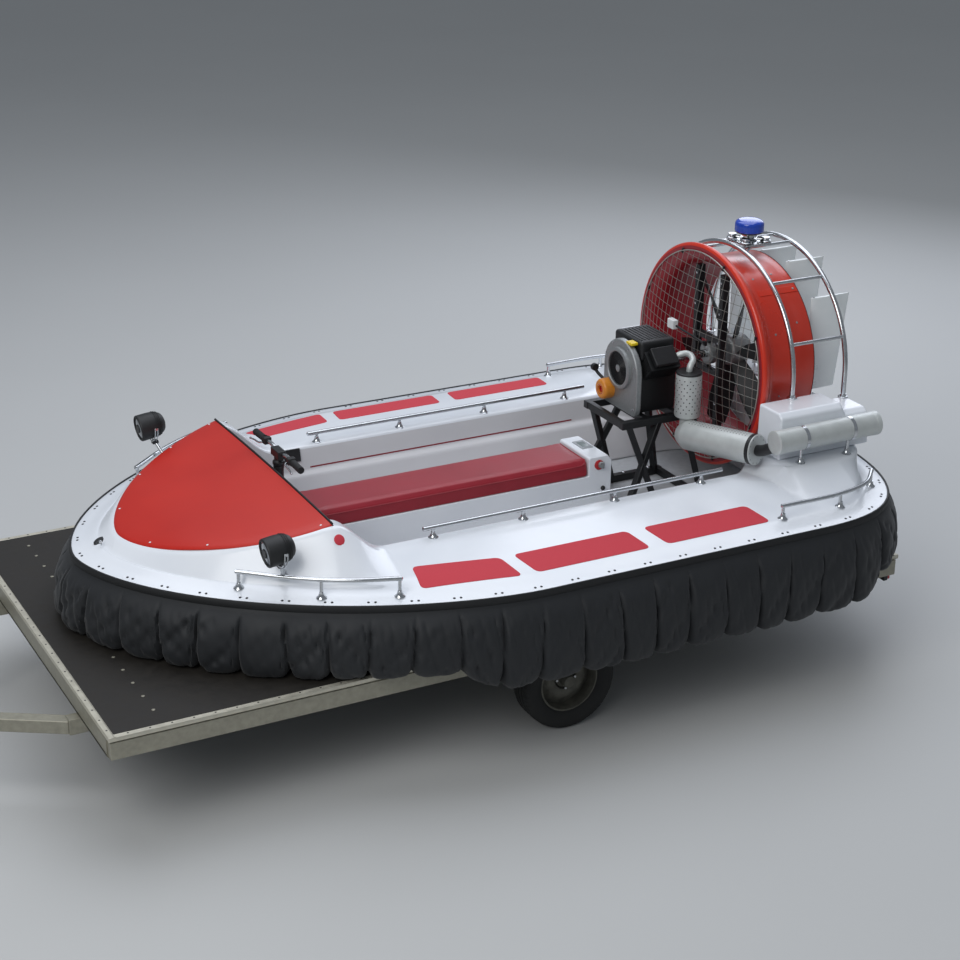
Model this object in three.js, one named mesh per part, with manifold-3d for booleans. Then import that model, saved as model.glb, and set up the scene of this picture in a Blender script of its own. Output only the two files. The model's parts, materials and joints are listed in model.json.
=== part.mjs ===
// Small rescue hovercraft standing on the flat-deck trailer that carries it.
// Millimetres. The bow points to -X, the port side is -Y, +Z is up and the floor is z = 0.
// The origin is under the middle of the whole outfit, from the coupling to the stern skirt.
import * as THREE from "three";
import { mergeVertices } from "three/addons/utils/BufferGeometryUtils.js";
import Module from "manifold-3d";

const wasm = await Module();
wasm.setup();

// Driving dimensions of the trailer
const TYRE_RADIUS = 250;
const TYRE_WIDTH = 165;
const HUB_BORE = 24.8;
const RIM_RADIUS = 165;
const AXLE_X = 750;
const WHEEL_Y = 945;
const DECK_TOP_Z = 595.5;
const DECK_FRONT_X = -1590;
const DECK_REAR_X = 2633;
const DECK_HALF_WIDTH = 1122;
const TRIM_WIDTH = 28;
const BEAM_TOP_Z = 565;
const BEAM_BOTTOM_Z = 480;
const CROSS_TOP_Z = 577;
const DRAWBAR_Y = 660;
const CROSS_XS = [-900, -250, 420, 1080, 1850];
const COUPLING_Z = 440;
const JOCKEY_X = -2330;
const JOCKEY_RADIUS = 100;

// Driving dimensions of the craft
const HALF_WIDTH = 1300;
const BOW_X = -1370;
const STERN_X = 2770;
const BOW_START_X = 450;
const STERN_START_X = 1920;
const BOW_POWER = 1.7;
const STERN_POWER = 3;
const RIM_Z = 938;
const HULL_BOTTOM_Z = 662;
const SIDE_DECK_Z = 1010;
const AFT_DECK_Z = 1100;
const RISE_START_X = 2010;
const RISE_END_X = 2062;
const COVER_NOSE_X = -1170;
const COVER_REAR_X = -376;
const COVER_REAR_Z = 1207;
const COVER_SLOPE = 0.2416;
const COVER_HALF = 760;
const COCKPIT_HALF = 660;
const SEAT_HALF = 155;
const SEAT_TOP_Z = 1003;
const CUSHION_THICKNESS = 95;
const SEAT_FRONT_X = -250;
const SEAT_REAR_X = 1335;
const CONSOLE_REAR_X = 1475;
const CONSOLE_TOP_Z = 1010;
const OPENING_TIP_X = -1080;
const OPENING_END_X = 2530;
const FOOT_TIP_X = -700;
const FOOT_END_X = 2460;
const COAMING_END_X = 2612;
const SKIRT_BULGE = 95;
const STERN_BULGE = 70;

// Driving dimensions of the fan, its duct and the engine
const DUCT_Z = 1420;
const DUCT_FRONT_X = 2089;
const DUCT_REAR_X = 2470;
const LIP_RADIUS = 600;
const DUCT_RADIUS = 515;
const THROAT_RADIUS = 485;
const FAN_X = 2310;
const FAN_RADIUS = 476;
const BLADES = 6;
const RUDDER_X = 2550;
const RUDDER_CHORD = 230;
const RUDDER_BOTTOM_Z = 1266;
const RUDDER_YS = [-360, -120, 120, 360];
const HOOP_RADIUS = 600;
const HOOP_TUBE = 14;
const HOOP_Z = 1380;
const HOOP_XS = [2262, 2592];
const ENGINE_FRONT_X = 1580;
const ENGINE_REAR_X = 1880;
const TABLE_Z = 1190;
const HANDLEBAR_X = -330;
const HANDLEBAR_Z = 1280;
const POD_TOP_Z = 1345;
const POD_REAR_Z = 1300;
const GAP = 0.4;

// Colours and finishes as seen in daylight
const paint = (name, color, roughness, metalness = 0) =>
  new THREE.MeshStandardMaterial({ name, color, roughness, metalness });
const FINISH = {
  gelcoat: paint("white gelcoat", 0xe9edf2, 0.25),
  red: paint("red gelcoat", 0xb3271e, 0.3),
  vinyl: paint("dark red vinyl", 0x8e2432, 0.55),
  fabric: paint("black coated fabric", 0x1d2124, 0.85),
  rubber: paint("black rubber", 0x161718, 0.8),
  blackSteel: paint("black painted steel", 0x17181a, 0.5, 0.3),
  stainless: paint("polished stainless steel", 0xb9bcc0, 0.25, 1),
  zinc: paint("galvanised steel", 0x9a9b98, 0.5, 0.8),
  plywood: paint("phenolic plywood", 0x231f1c, 0.6),
  alloy: paint("cast aluminium", 0xa4a6a6, 0.45, 0.8),
  silver: paint("silver paint", 0xb4b9b8, 0.4, 0.5),
  orange: paint("orange enamel", 0xd9862b, 0.45),
  blue: paint("blue polycarbonate", 0x1c4fd0, 0.2),
  plastic: paint("black plastic", 0x202224, 0.5),
  rudder: paint("white rudder paint", 0xd5dcdd, 0.4),
};

const root = new THREE.Group();
const v3 = (x, y, z) => new THREE.Vector3(x, y, z);
const lerp = (a, b, t) => a + (b - a) * t;
const clamp01 = (t) => Math.min(1, Math.max(0, t));
const smooth = (x, a, b) => {
  const t = clamp01((x - a) / (b - a));
  return t * t * (3 - 2 * t);
};

// Puts a finished sub-part into the group under its node name.
function place(name, geometry, material, parent = root) {
  const mesh = new THREE.Mesh(geometry, material);
  mesh.name = name;
  parent.add(mesh);
  return mesh;
}

// A three.js geometry as a manifold solid, turned the right way out.
function solid(geometry) {
  const bare = new THREE.BufferGeometry();
  bare.setAttribute("position", geometry.getAttribute("position").clone());
  if (geometry.index) bare.setIndex(geometry.index.clone());
  const merged = mergeVertices(bare, 1e-3);
  const vertProperties = merged.attributes.position.array;
  const triVerts = new Uint32Array(merged.index.array);
  const made = new wasm.Manifold(new wasm.Mesh({ numProp: 3, vertProperties, triVerts }));
  if (made.volume() > 0) return made;
  for (let i = 0; i < triVerts.length; i += 3) {
    [triVerts[i + 1], triVerts[i + 2]] = [triVerts[i + 2], triVerts[i + 1]];
  }
  return new wasm.Manifold(new wasm.Mesh({ numProp: 3, vertProperties, triVerts }));
}

// A manifold solid back as a three.js geometry.
function geometryOf(made) {
  const mesh = made.getMesh();
  const geometry = new THREE.BufferGeometry();
  geometry.setAttribute("position", new THREE.BufferAttribute(mesh.vertProperties, 3));
  geometry.setIndex(new THREE.BufferAttribute(mesh.triVerts, 1));
  geometry.computeVertexNormals();
  return geometry;
}

const join = (...parts) => geometryOf(parts.map(solid).reduce((a, b) => a.add(b)));
const cut = (part, ...tools) =>
  geometryOf(tools.map(solid).reduce((a, b) => a.subtract(b), solid(part)));

// A box between two corners.
function box(x0, x1, y0, y1, z0, z1) {
  const made = new THREE.BoxGeometry(x1 - x0, y1 - y0, z1 - z0);
  return made.translate((x0 + x1) / 2, (y0 + y1) / 2, (z0 + z1) / 2);
}

// A round bar from a to b, or a cone where the two radii differ.
function rod(a, b, radius, sides = 10, endRadius = radius) {
  const along = b.clone().sub(a);
  const made = new THREE.CylinderGeometry(endRadius, radius, along.length(), sides);
  const turn = new THREE.Quaternion().setFromUnitVectors(v3(0, 1, 0), along.clone().normalize());
  return made.applyQuaternion(turn).translate(...a.clone().add(b).multiplyScalar(0.5).toArray());
}

// A square bar from a to b.
function bar(a, b, width) {
  const along = b.clone().sub(a);
  const made = new THREE.BoxGeometry(width, along.length(), width);
  const turn = new THREE.Quaternion().setFromUnitVectors(v3(0, 1, 0), along.clone().normalize());
  return made.applyQuaternion(turn).translate(...a.clone().add(b).multiplyScalar(0.5).toArray());
}

// A bent tube whose middle line runs smoothly through points.
function bentTube(points, radius, steps, sides = 6) {
  const section = new THREE.Shape(Array.from({ length: sides }, (_, k) => {
    const a = ((k + 0.5) / sides) * 2 * Math.PI;
    return new THREE.Vector2(Math.cos(a) * radius, Math.sin(a) * radius);
  }));
  const extrudePath = new THREE.CatmullRomCurve3(points, false, "centripetal");
  return new THREE.ExtrudeGeometry(section, { steps, extrudePath, bevelEnabled: false });
}

// A solid of revolution about a line along X through (y, z); the profile is [x, radius] pairs.
function turned(profile, y, z, segments = 24) {
  const made = new THREE.LatheGeometry(profile.map(([x, r]) => new THREE.Vector2(r, x)), segments);
  return geometryOf(solid(made.rotateZ(-Math.PI / 2).translate(0, y, z)));
}

// Rings of equally many points, joined in order; closed makes a tyre-like solid, else the ends get caps.
function loft(rings, closed) {
  const n = rings[0].length;
  const positions = rings.flat().flatMap((p) => [p.x, p.y, p.z]);
  const faces = [];
  const last = closed ? rings.length : rings.length - 1;
  for (let k = 0; k < last; k++) {
    const a = k * n;
    const b = ((k + 1) % rings.length) * n;
    for (let j = 0; j < n; j++) {
      const i = (j + 1) % n;
      faces.push(a + j, b + j, a + i, a + i, b + j, b + i);
    }
  }
  if (!closed) {
    [[0, 1], [rings.length - 1, -1]].forEach(([k, way]) => {
      const middle = rings[k].reduce((s, p) => s.add(p), v3(0, 0, 0)).divideScalar(n);
      const centre = positions.length / 3;
      positions.push(middle.x, middle.y, middle.z);
      for (let j = 0; j < n; j++) {
        const i = (j + 1) % n;
        faces.push(centre, ...(way > 0 ? [k * n + j, k * n + i] : [k * n + i, k * n + j]));
      }
    });
  }
  const made = new THREE.BufferGeometry();
  made.setAttribute("position", new THREE.Float32BufferAttribute(positions, 3));
  made.setIndex(faces);
  return geometryOf(solid(made));
}

// Half width of the hull's plan at x for an outline drawn in by inset.
function hullHalf(x, inset = 0) {
  const half = HALF_WIDTH - inset;
  const bow = (BOW_START_X - x) / (BOW_START_X - BOW_X - inset);
  const stern = (x - STERN_START_X) / (STERN_X - inset - STERN_START_X);
  if (bow > 0) return half * Math.pow(Math.max(0, 1 - Math.pow(bow, BOW_POWER)), 1 / BOW_POWER);
  if (stern > 0) return half * Math.pow(Math.max(0, 1 - Math.pow(stern, STERN_POWER)), 1 / STERN_POWER);
  return half;
}

// A closed ring in plan from tip to stern, port side first; half and height are functions of x.
const BOW_STEPS = 8;
const SIDE_STEPS = 6;
const STERN_STEPS = 7;
function ring(tip, stern, half, height) {
  const xs = [];
  for (let k = 0; k < BOW_STEPS; k++) {
    xs.push(BOW_START_X - (BOW_START_X - tip) * Math.cos((k / BOW_STEPS) * (Math.PI / 2)));
  }
  for (let k = 0; k < SIDE_STEPS; k++) xs.push(lerp(BOW_START_X, STERN_START_X, k / SIDE_STEPS));
  xs.push(STERN_START_X, RISE_START_X);
  for (let k = 0; k <= STERN_STEPS; k++) {
    const turnBy = Math.sin((k / STERN_STEPS) * (Math.PI / 2));
    xs.push(RISE_END_X + (stern - RISE_END_X) * turnBy);
  }
  const at = (x, side) => v3(x, side * half(x), height(x));
  const port = xs.slice(1).map((x) => at(x, -1));
  const starboard = xs.slice(1, -1).reverse().map((x) => at(x, 1));
  const first = v3(tip, 0, height(tip));
  port[port.length - 1] = v3(stern, 0, height(stern));
  return [first, ...port, ...starboard];
}
const inset = (d, height) => ring(BOW_X + d, STERN_X - d, (x) => hullHalf(x, d), height);
const flat = (z) => () => z;

// Height of the sloping bow cover's underside, and of the coaming that carries it on to the stern.
const coverPlane = (x) => COVER_REAR_Z + COVER_SLOPE * (x - COVER_REAR_X);
function coamingHeight(x) {
  if (x < COVER_REAR_X) return coverPlane(x) - 7;
  if (x < 1750) return lerp(COVER_REAR_Z - 7, SIDE_DECK_Z, smooth(x, COVER_REAR_X, -90));
  return lerp(SIDE_DECK_Z, AFT_DECK_Z, smooth(x, RISE_START_X, RISE_END_X));
}
function superHalf(x, start, length, half, power) {
  const t = clamp01((start - x) / length);
  return half * Math.pow(1 - Math.pow(t, power), 1 / power);
}
// Half width of the coaming's outer edge: the cover's outline, then the side coaming, then the aft deck.
function coamingHalf(x, drawnIn = 0) {
  const start = -350;
  if (x < start) {
    return superHalf(x, start, start - COVER_NOSE_X - drawnIn, COVER_HALF - drawnIn, BOW_POWER);
  }
  const widened = lerp(720, 905, smooth(x, 1780, 2150));
  const side = lerp(COVER_HALF, widened, smooth(x, start, -90)) - drawnIn;
  const t = clamp01((x - 2350) / (COAMING_END_X - drawnIn - 2350));
  return side * Math.pow(Math.max(0, 1 - t ** 4), 1 / 4);
}
// Half width of the cockpit opening, which narrows round the duct.
function openingHalf(x) {
  const bowStart = -350;
  if (x < bowStart) return superHalf(x, bowStart, bowStart - OPENING_TIP_X, COCKPIT_HALF, BOW_POWER);
  const side = lerp(COCKPIT_HALF, 560, smooth(x, 1900, 2060));
  const t = clamp01((x - 2300) / (OPENING_END_X - 2300));
  return side * Math.pow(Math.max(0, 1 - t ** 4), 1 / 4);
}
function footHalf(x) {
  if (x < 0) return superHalf(x, 0, -FOOT_TIP_X, 500, 2.5);
  const t = clamp01((x - 2000) / (FOOT_END_X - 2000));
  return 500 * Math.pow(Math.max(0, 1 - t ** 4), 1 / 4);
}

// The hollow inside one side of the hull, open to below; sign is -1 to port.
function sideHollow(sign) {
  const roof = 905;
  const section = (x) => {
    const inner = footHalf(x) + 35;
    const innerTop = lerp(footHalf(x), openingHalf(x), 0.7) + 35;
    const outer = hullHalf(x);
    return [[inner, HULL_BOTTOM_Z - 1], [outer - 260, HULL_BOTTOM_Z - 1], [outer - 130, 890],
        [outer - 170, roof],
      [innerTop, roof]].map(([y, z]) => v3(x, sign * y, z));
  };
  return loft([-500, -100, BOW_START_X, STERN_START_X, 2200, 2400].map(section), false);
}

// The moulded hull: a ring of deck, coaming and side body round the open cockpit and engine bay.
function hullBody() {
  const shoulderHalf = (x) => Math.min(1000 + 60 * smooth(x, 1800, 2200), hullHalf(x, 135));
  const shoulder = (x) => lerp(986, 1000, smooth(x, 1900, 2300)) - 22 * smooth(-x, -200, 1200);
  const outside = loft([
    inset(0, flat(RIM_Z - 22)),
    inset(0, flat(RIM_Z)),
    inset(70, flat(RIM_Z + 12)),
    inset(125, flat(RIM_Z + 28)),
    ring(BOW_X + 150, STERN_X - 135, shoulderHalf, shoulder),
    ring(COVER_NOSE_X, COAMING_END_X, (x) => coamingHalf(x), coamingHeight),
    ring(OPENING_TIP_X, OPENING_END_X, openingHalf, coamingHeight),
    ring(FOOT_TIP_X, FOOT_END_X, footHalf, flat(HULL_BOTTOM_Z)),
    inset(230, flat(HULL_BOTTOM_Z)),
    inset(90, flat(RIM_Z - 50)),
  ], true);
  return cut(outside, sideHollow(-1), sideHollow(1));
}

// Height at which a foot of the given radius stands on the hull at x, y.
const hull = hullBody();
const hullMesh = new THREE.Mesh(hull);
function seatZ(x, y, radius = 10) {
  const heights = Array.from({ length: 9 }, (_, k) => {
    const reach = k ? radius : 0;
    const from = v3(x + reach * Math.cos((k * Math.PI) / 4), y + reach * Math.sin((k * Math.PI) / 4), 3000);
    return new THREE.Raycaster(from, v3(0, 0, -1)).intersectObject(hullMesh)[0].point.z;
  });
  return Math.max(...heights) + GAP;
}

// The flat bottom that closes the hull and is the cockpit floor.
function hullBottom() {
  return loft([inset(232, flat(DECK_TOP_Z + GAP)), inset(232, flat(HULL_BOTTOM_Z - GAP))], false);
}

// Black rubber extrusion that grips the deck's rim.
function rimStrip() {
  return loft([
    inset(-14, flat(RIM_Z - 30)),
    inset(-14, flat(RIM_Z + 2)),
    inset(-0.5, flat(RIM_Z + 2)),
    inset(-0.5, flat(RIM_Z - 30)),
  ], true);
}

// The bag of overlapping fingers that hangs from the rim: it lies on the deck and hangs over its sides.
const SKIRT_STEPS = 50;
function skirtPath() {
  const dense = inset(0, flat(0));
  const lengths = [0];
  const closed = [...dense, dense[0]];
  closed.slice(1).forEach((p, i) => lengths.push(lengths[i] + p.distanceTo(closed[i])));
  const total = lengths[lengths.length - 1];
  return Array.from({ length: SKIRT_STEPS }, (_, k) => {
    const s = (k / SKIRT_STEPS) * total;
    const i = Math.max(0, lengths.findIndex((l) => l > s) - 1);
    const t = (s - lengths[i]) / (lengths[i + 1] - lengths[i]);
    const point = closed[i].clone().lerp(closed[i + 1], t);
    const along = closed[i + 1].clone().sub(closed[i]).normalize();
    return { point, along };
  });
}
function skirt() {
  const path = skirtPath();
  const n = path.length;
  const smoothed = path.map((p, k) =>
    path[(k + n - 1) % n].along.clone().add(p.along).add(path[(k + 1) % n].along).normalize());
  const rings = path.map(({ point }, k) => {
    const along = smoothed[k];
    const out = v3(-along.y, along.x, 0).multiplyScalar(-1);
    if (out.dot(v3(point.x - 600, point.y, 0)) < 0) out.multiplyScalar(-1);
    const overSide = smooth(Math.abs(point.y), 1140, 1260) + smooth(point.x, 2650, 2740);
    const low = lerp(DECK_TOP_Z, 490, clamp01(overSide));
    const bulge = lerp(SKIRT_BULGE, STERN_BULGE, smooth(point.x, 1500, 2500));
    const section = [
      [-5, RIM_Z - 30.4],
      [8, RIM_Z - 30.4],
      [bulge * 0.58, RIM_Z - 85],
      [bulge * 0.9, lerp(RIM_Z, low, 0.5)],
      [bulge, lerp(RIM_Z, low, 0.78)],
      [bulge - 10, lerp(RIM_Z, low, 0.94)],
      [bulge - 45, low],
      [-120, low],
    ];
    return section.map(([d, z]) => v3(point.x + out.x * d, point.y + out.y * d, z));
  });
  const deck = box(DECK_FRONT_X - GAP, DECK_REAR_X + GAP, -DECK_HALF_WIDTH - GAP, DECK_HALF_WIDTH + GAP,
    BEAM_BOTTOM_Z - 80, DECK_TOP_Z + GAP);
  return cut(loft(rings, true), deck);
}

// The red cover of the bow, a flat moulded sheet that slopes up to the dash.
function bowCover() {
  const edge = ring(COVER_NOSE_X + 6, COVER_REAR_X, (x) => coamingHalf(x, 6), (x) => coverPlane(x) - 6);
  const ahead = edge.filter((p) => p.x < COVER_REAR_X - 1);
  const half = coamingHalf(COVER_REAR_X - 1, 6);
  const tip = ahead.findIndex((p) => Math.abs(p.y) < 1e-6);
  const ordered = [...ahead.slice(tip), ...ahead.slice(0, tip)];
  const portSide = ordered.filter((p) => p.y <= 0).sort((a, b) => a.x - b.x);
  const outline = [
    ...portSide,
    v3(COVER_REAR_X, -half, COVER_REAR_Z - 6),
    v3(COVER_REAR_X, half, COVER_REAR_Z - 6),
    ...portSide.slice(1).reverse().map((p) => v3(p.x, -p.y, p.z)),
  ];
  return loft([outline, outline.map((p) => v3(p.x, p.y, p.z + 6))], false);
}

// Black edging on the cover's rear edge.
function coverEdging() {
  const half = coamingHalf(COVER_REAR_X, 40);
  return box(COVER_REAR_X + GAP, COVER_REAR_X + 14, -half, half, COVER_REAR_Z - 12, COVER_REAR_Z + 6);
}

// A level handrail through points, on stems that stand on the hull.
function handrail(points, feet) {
  const stem = (p) => rod(v3(p.x, p.y, seatZ(p.x, p.y)), v3(p.x, p.y, points[0].z), STEM_RADIUS, 5);
  return join(bentTube(points, RAIL_RADIUS, 5), ...feet.map(stem));
}

const RAIL_RADIUS = 11;
const STEM_RADIUS = 10;
const RAILS = [
  // name, height of the tube, x and y along the tube, x and y of the stems
  ["front", 1040, [[-830, 690], [-610, 880], [-400, 1010], [-190, 1090]],
    [[-820, 700], [-520, 940], [-200, 1086]]],
  ["side", 1062, [[112, 690], [650, 690], [1165, 690], [1796, 690]],
    [[165, 690], [650, 690], [1165, 690], [1674, 690]]],
  ["rear", 1035, [[1830, 1165], [2160, 1165], [2380, 1110], [2520, 985]],
    [[1840, 1165], [2190, 1161], [2510, 994]]],
];
function rails() {
  RAILS.forEach(([name, z, points, feet]) => {
    [["port", -1], ["starboard", 1]].forEach(([side, sign]) => {
      const at = ([x, y]) => v3(x, sign * y, z);
      place(`rail_${name}_${side}`, handrail(points.map(at), feet.map(at)), FINISH.stainless);
    });
  });
}

// A work lamp on its fork, clamped to the front rail and looking ahead.
function spotLamp(sign) {
  const x = -680;
  const y = sign * 858;
  const footY = sign * 775;
  const z = 1190;
  const head = turned([[-76, 0], [-76, 60], [-40, 68], [16, 68], [56, 50], [74, 24], [74, 0]], y, z, 14);
  head.translate(x, 0, 0);
  const fork = [
    box(x - 12, x + 12, y - 78, y - 72, z - 56, z + 8),
    box(x - 12, x + 12, y + 72, y + 78, z - 56, z + 8),
    box(x - 12, x + 12, y - 78, y + 78, z - 92, z - 76),
    bar(v3(x, y - 75, z - 52), v3(x, y - 48, z - 84), 9),
    bar(v3(x, y + 75, z - 52), v3(x, y + 48, z - 84), 9),
    rod(v3(x, y - 75, z), v3(x, y + 75, z), 7),
    rod(v3(x + 50, footY, seatZ(x + 50, footY, 13)), v3(x + 8, y - sign * 15, z - 84), 12, 8),
  ];
  return join(head, ...fork);
}

// Seat: a white box down the middle, the long cushion on it and the console behind.
const CUSHION_LOW_Z = SEAT_TOP_Z - CUSHION_THICKNESS;
function seatBox() {
  const profile = new THREE.Shape([
    [SEAT_FRONT_X, HULL_BOTTOM_Z + GAP], [CONSOLE_REAR_X, HULL_BOTTOM_Z + GAP],
    [CONSOLE_REAR_X, CONSOLE_TOP_Z - 30], [CONSOLE_REAR_X - 24, CONSOLE_TOP_Z],
    [SEAT_REAR_X + 10, CONSOLE_TOP_Z], [SEAT_REAR_X + 3, CONSOLE_TOP_Z - 7],
    [SEAT_REAR_X + 3, CUSHION_LOW_Z - GAP], [SEAT_FRONT_X, CUSHION_LOW_Z - GAP],
  ].map(([x, z]) => new THREE.Vector2(x, z)));
  const made = new THREE.ExtrudeGeometry(profile, { depth: 2 * SEAT_HALF, bevelEnabled: false });
  return geometryOf(solid(made.rotateX(Math.PI / 2).translate(0, SEAT_HALF, 0)));
}
function seatCushion() {
  const end = (x, inY, inZ) => [
    v3(x, -SEAT_HALF - 5 + inY, CUSHION_LOW_Z + inZ), v3(x, SEAT_HALF + 5 - inY, CUSHION_LOW_Z + inZ),
    v3(x, SEAT_HALF + 5 - inY, SEAT_TOP_Z - 18), v3(x, SEAT_HALF - 20 - inY, SEAT_TOP_Z - inZ),
    v3(x, -SEAT_HALF + 20 + inY, SEAT_TOP_Z - inZ), v3(x, -SEAT_HALF - 5 + inY, SEAT_TOP_Z - 18),
  ];
  return loft([
    end(SEAT_FRONT_X - 2, 8, 8), end(SEAT_FRONT_X + 18, 0, 0), end(SEAT_REAR_X - 18, 0, 0),
        end(SEAT_REAR_X, 8, 8),
  ], false);
}

// Steering: a fixed column and the handlebar that turns on it.
function steeringColumn() {
  return join(
    rod(v3(HANDLEBAR_X, 0, HULL_BOTTOM_Z), v3(HANDLEBAR_X, 0, HANDLEBAR_Z - 60 - GAP), 24, 14),
    rod(v3(HANDLEBAR_X, 0, HULL_BOTTOM_Z), v3(HANDLEBAR_X, 0, HULL_BOTTOM_Z + 12), 55, 14),
  );
}
function handlebar() {
  const grip = (sign) => [
    rod(v3(HANDLEBAR_X + 2, sign * 172, HANDLEBAR_Z + 12), v3(HANDLEBAR_X - 2, sign * 283,
        HANDLEBAR_Z + 12), 18, 8),
    bar(v3(HANDLEBAR_X + 4, sign * 140, HANDLEBAR_Z + 12), v3(HANDLEBAR_X + 2, sign * 172,
        HANDLEBAR_Z + 12), 46),
    bentTube([v3(HANDLEBAR_X, sign * 20, HANDLEBAR_Z), v3(HANDLEBAR_X + 6, sign * 90, HANDLEBAR_Z + 12),
      v3(HANDLEBAR_X, sign * 260, HANDLEBAR_Z + 12)], 11, 4),
    rod(v3(HANDLEBAR_X - 34, sign * 158, HANDLEBAR_Z + 2), v3(HANDLEBAR_X - 42, sign * 268,
        HANDLEBAR_Z - 6), 6, 6),
    bar(v3(HANDLEBAR_X - 38, sign * 160, HANDLEBAR_Z + 2), v3(HANDLEBAR_X + 2, sign * 156,
        HANDLEBAR_Z + 12), 12),
  ];
  return join(
    rod(v3(HANDLEBAR_X, 0, HANDLEBAR_Z - 60), v3(HANDLEBAR_X, 0, HANDLEBAR_Z + 20), 30, 14),
    box(HANDLEBAR_X - 22, HANDLEBAR_X + 22, -48, 48, HANDLEBAR_Z - 20, HANDLEBAR_Z + 22),
    ...grip(-1), ...grip(1),
  );
}

// Duct: bell-mouthed lip in front, straight barrel behind.
function duct() {
  const lipX = DUCT_FRONT_X;
  return turned([
    [DUCT_REAR_X, THROAT_RADIUS], [lipX + 90, THROAT_RADIUS], [lipX + 34, 512], [lipX, 566],
    [lipX + 18, LIP_RADIUS], [lipX + 38, 596], [lipX + 84, 540], [lipX + 112, DUCT_RADIUS],
    [DUCT_REAR_X, DUCT_RADIUS], [DUCT_REAR_X, THROAT_RADIUS],
  ], 0, DUCT_Z, 36);
}

// Wire guard over the duct's mouth, slightly domed towards the engine.
const GUARD_RADIUS = 560;
const GUARD_DOME = 95;
function guard() {
  const wire = 7;
  const step = 240;
  const domeX = (r) => DUCT_FRONT_X - 8 - GUARD_DOME * Math.cos((Math.min(r,
      GUARD_RADIUS) / GUARD_RADIUS) * (Math.PI / 2));
  const parts = [];
  for (let c = -1.5 * step; c <= 1.5 * step; c += step) {
    const reach = Math.sqrt(GUARD_RADIUS ** 2 - c * c);
    [true, false].forEach((upright) => {
      const offset = upright ? 0 : wire * 0.4;
      const points = [-1, -0.5, 0, 0.5, 1].map((t) => {
        const s = t * reach;
        const x = domeX(Math.hypot(s, c)) + offset;
        return upright ? v3(x, c, DUCT_Z + s) : v3(x, s, DUCT_Z + c);
      });
      const across = upright ? v3(0, wire / 2, 0) : v3(0, 0, wire / 2);
      const rings = points.map((p) => [
        p.clone().add(across), p.clone().add(v3(wire, 0, 0)).add(across),
        p.clone().add(v3(wire, 0, 0)).sub(across), p.clone().sub(across),
      ]);
      parts.push(loft(rings, false));
    });
  }
  const front = DUCT_FRONT_X - 8;
  const back = DUCT_FRONT_X - GAP;
  parts.push(turned([[front, 546], [back, 546], [back, 574], [front, 574], [front, 546]], 0, DUCT_Z, 36));
  return join(...parts);
}

// Uprights in the duct's mouth that carry the fan's bearing, with the cross pieces round it.
function fanMount() {
  const x = DUCT_FRONT_X + 46;
  const reach = 464;
  const parts = [];
  [-115, 115].forEach((y) => parts.push(box(x, x + 40, y - 18, y + 18, DUCT_Z - reach, DUCT_Z + reach)));
  [-90, 90].forEach((z) => parts.push(box(x + 4, x + 36, -110, 110, DUCT_Z + z - 16, DUCT_Z + z + 16)));
  const housing = turned([[x, 22.9], [x + 44, 22.9], [x + 44, 62], [x, 62], [x, 22.9]], 0, DUCT_Z, 20);
  parts.push(housing);
  [-66, 66].forEach((z) => parts.push(box(x + 8, x + 32, -10, 10, DUCT_Z + z - 22, DUCT_Z + z + 22)));
  return join(...parts);
}

// The fan with its shaft: twisted blades on a round hub.
function fan() {
  const blade = (angle) => {
    const sections = [[60, 34, 62], [180, 60, 52], [330, 72, 34], [FAN_RADIUS, 62, 24]];
    const rings = sections.map(([r, chord, pitch]) => {
      const a = THREE.MathUtils.degToRad(pitch);
      return [[-1, 0], [-0.3, 1], [0.6, 1], [1, 0], [0.3, -1], [-0.5, -1]].map(([c, t]) => {
        const u = c * chord;
        const w = t * 5;
        return v3(u * Math.sin(a) + w * Math.cos(a), u * Math.cos(a) - w * Math.sin(a), r);
      });
    });
    return loft(rings, false).rotateX(angle).translate(FAN_X, 0, DUCT_Z);
  };
  const hub = turned([[FAN_X - 60, 0], [FAN_X - 60, 60], [FAN_X - 40, 84], [FAN_X + 50, 84],
    [FAN_X + 95, 40], [FAN_X + 105, 0]], 0, DUCT_Z, 20);
  const shaft = rod(v3(ENGINE_REAR_X + 16 + GAP, 0, DUCT_Z), v3(FAN_X, 0, DUCT_Z), 22, 14);
  const angles = Array.from({ length: BLADES }, (_, k) => (k / BLADES) * 2 * Math.PI + 0.26);
  return join(hub, shaft, ...angles.map(blade));
}

// A rudder behind the duct, narrower at its foot, with its lower pin.
function rudder(y) {
  const top = DUCT_Z + Math.sqrt((DUCT_RADIUS - 6) ** 2 - y * y) - 6;
  const nose = -16;
  const outlineAt = (z, chord) => [
    v3(nose, 0, z), v3(10, 9, z), v3(chord * 0.6, 7, z), v3(chord, 1.5, z),
    v3(chord, -1.5, z), v3(chord * 0.6, -7, z), v3(10, -9, z),
  ];
  const plate = loft([outlineAt(RUDDER_BOTTOM_Z, RUDDER_CHORD - 60), outlineAt(top, RUDDER_CHORD)], false);
  const pin = rod(v3(0, 0, RUDDER_BOTTOM_Z - 12), v3(0, 0, RUDDER_BOTTOM_Z + 4), 7);
  return join(plate, pin).translate(RUDDER_X, y, 0);
}

// Pod beside the duct that carries the guard hoops; sign is -1 to port.
function pod(sign) {
  const base = AFT_DECK_Z + GAP;
  const side = [[RISE_END_X + 2, base], [RISE_END_X + 6, POD_TOP_Z], [2450, POD_TOP_Z], [2470,
      POD_REAR_Z], [2612, POD_REAR_Z], [2632, base]];
  const layer = (y, drop) => side.map(([x, z]) => v3(x, sign * y, z > 1200 ? z - drop : z));
  return loft([layer(602, 0), layer(770, 0), layer(800, 22)], false);
}

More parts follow.
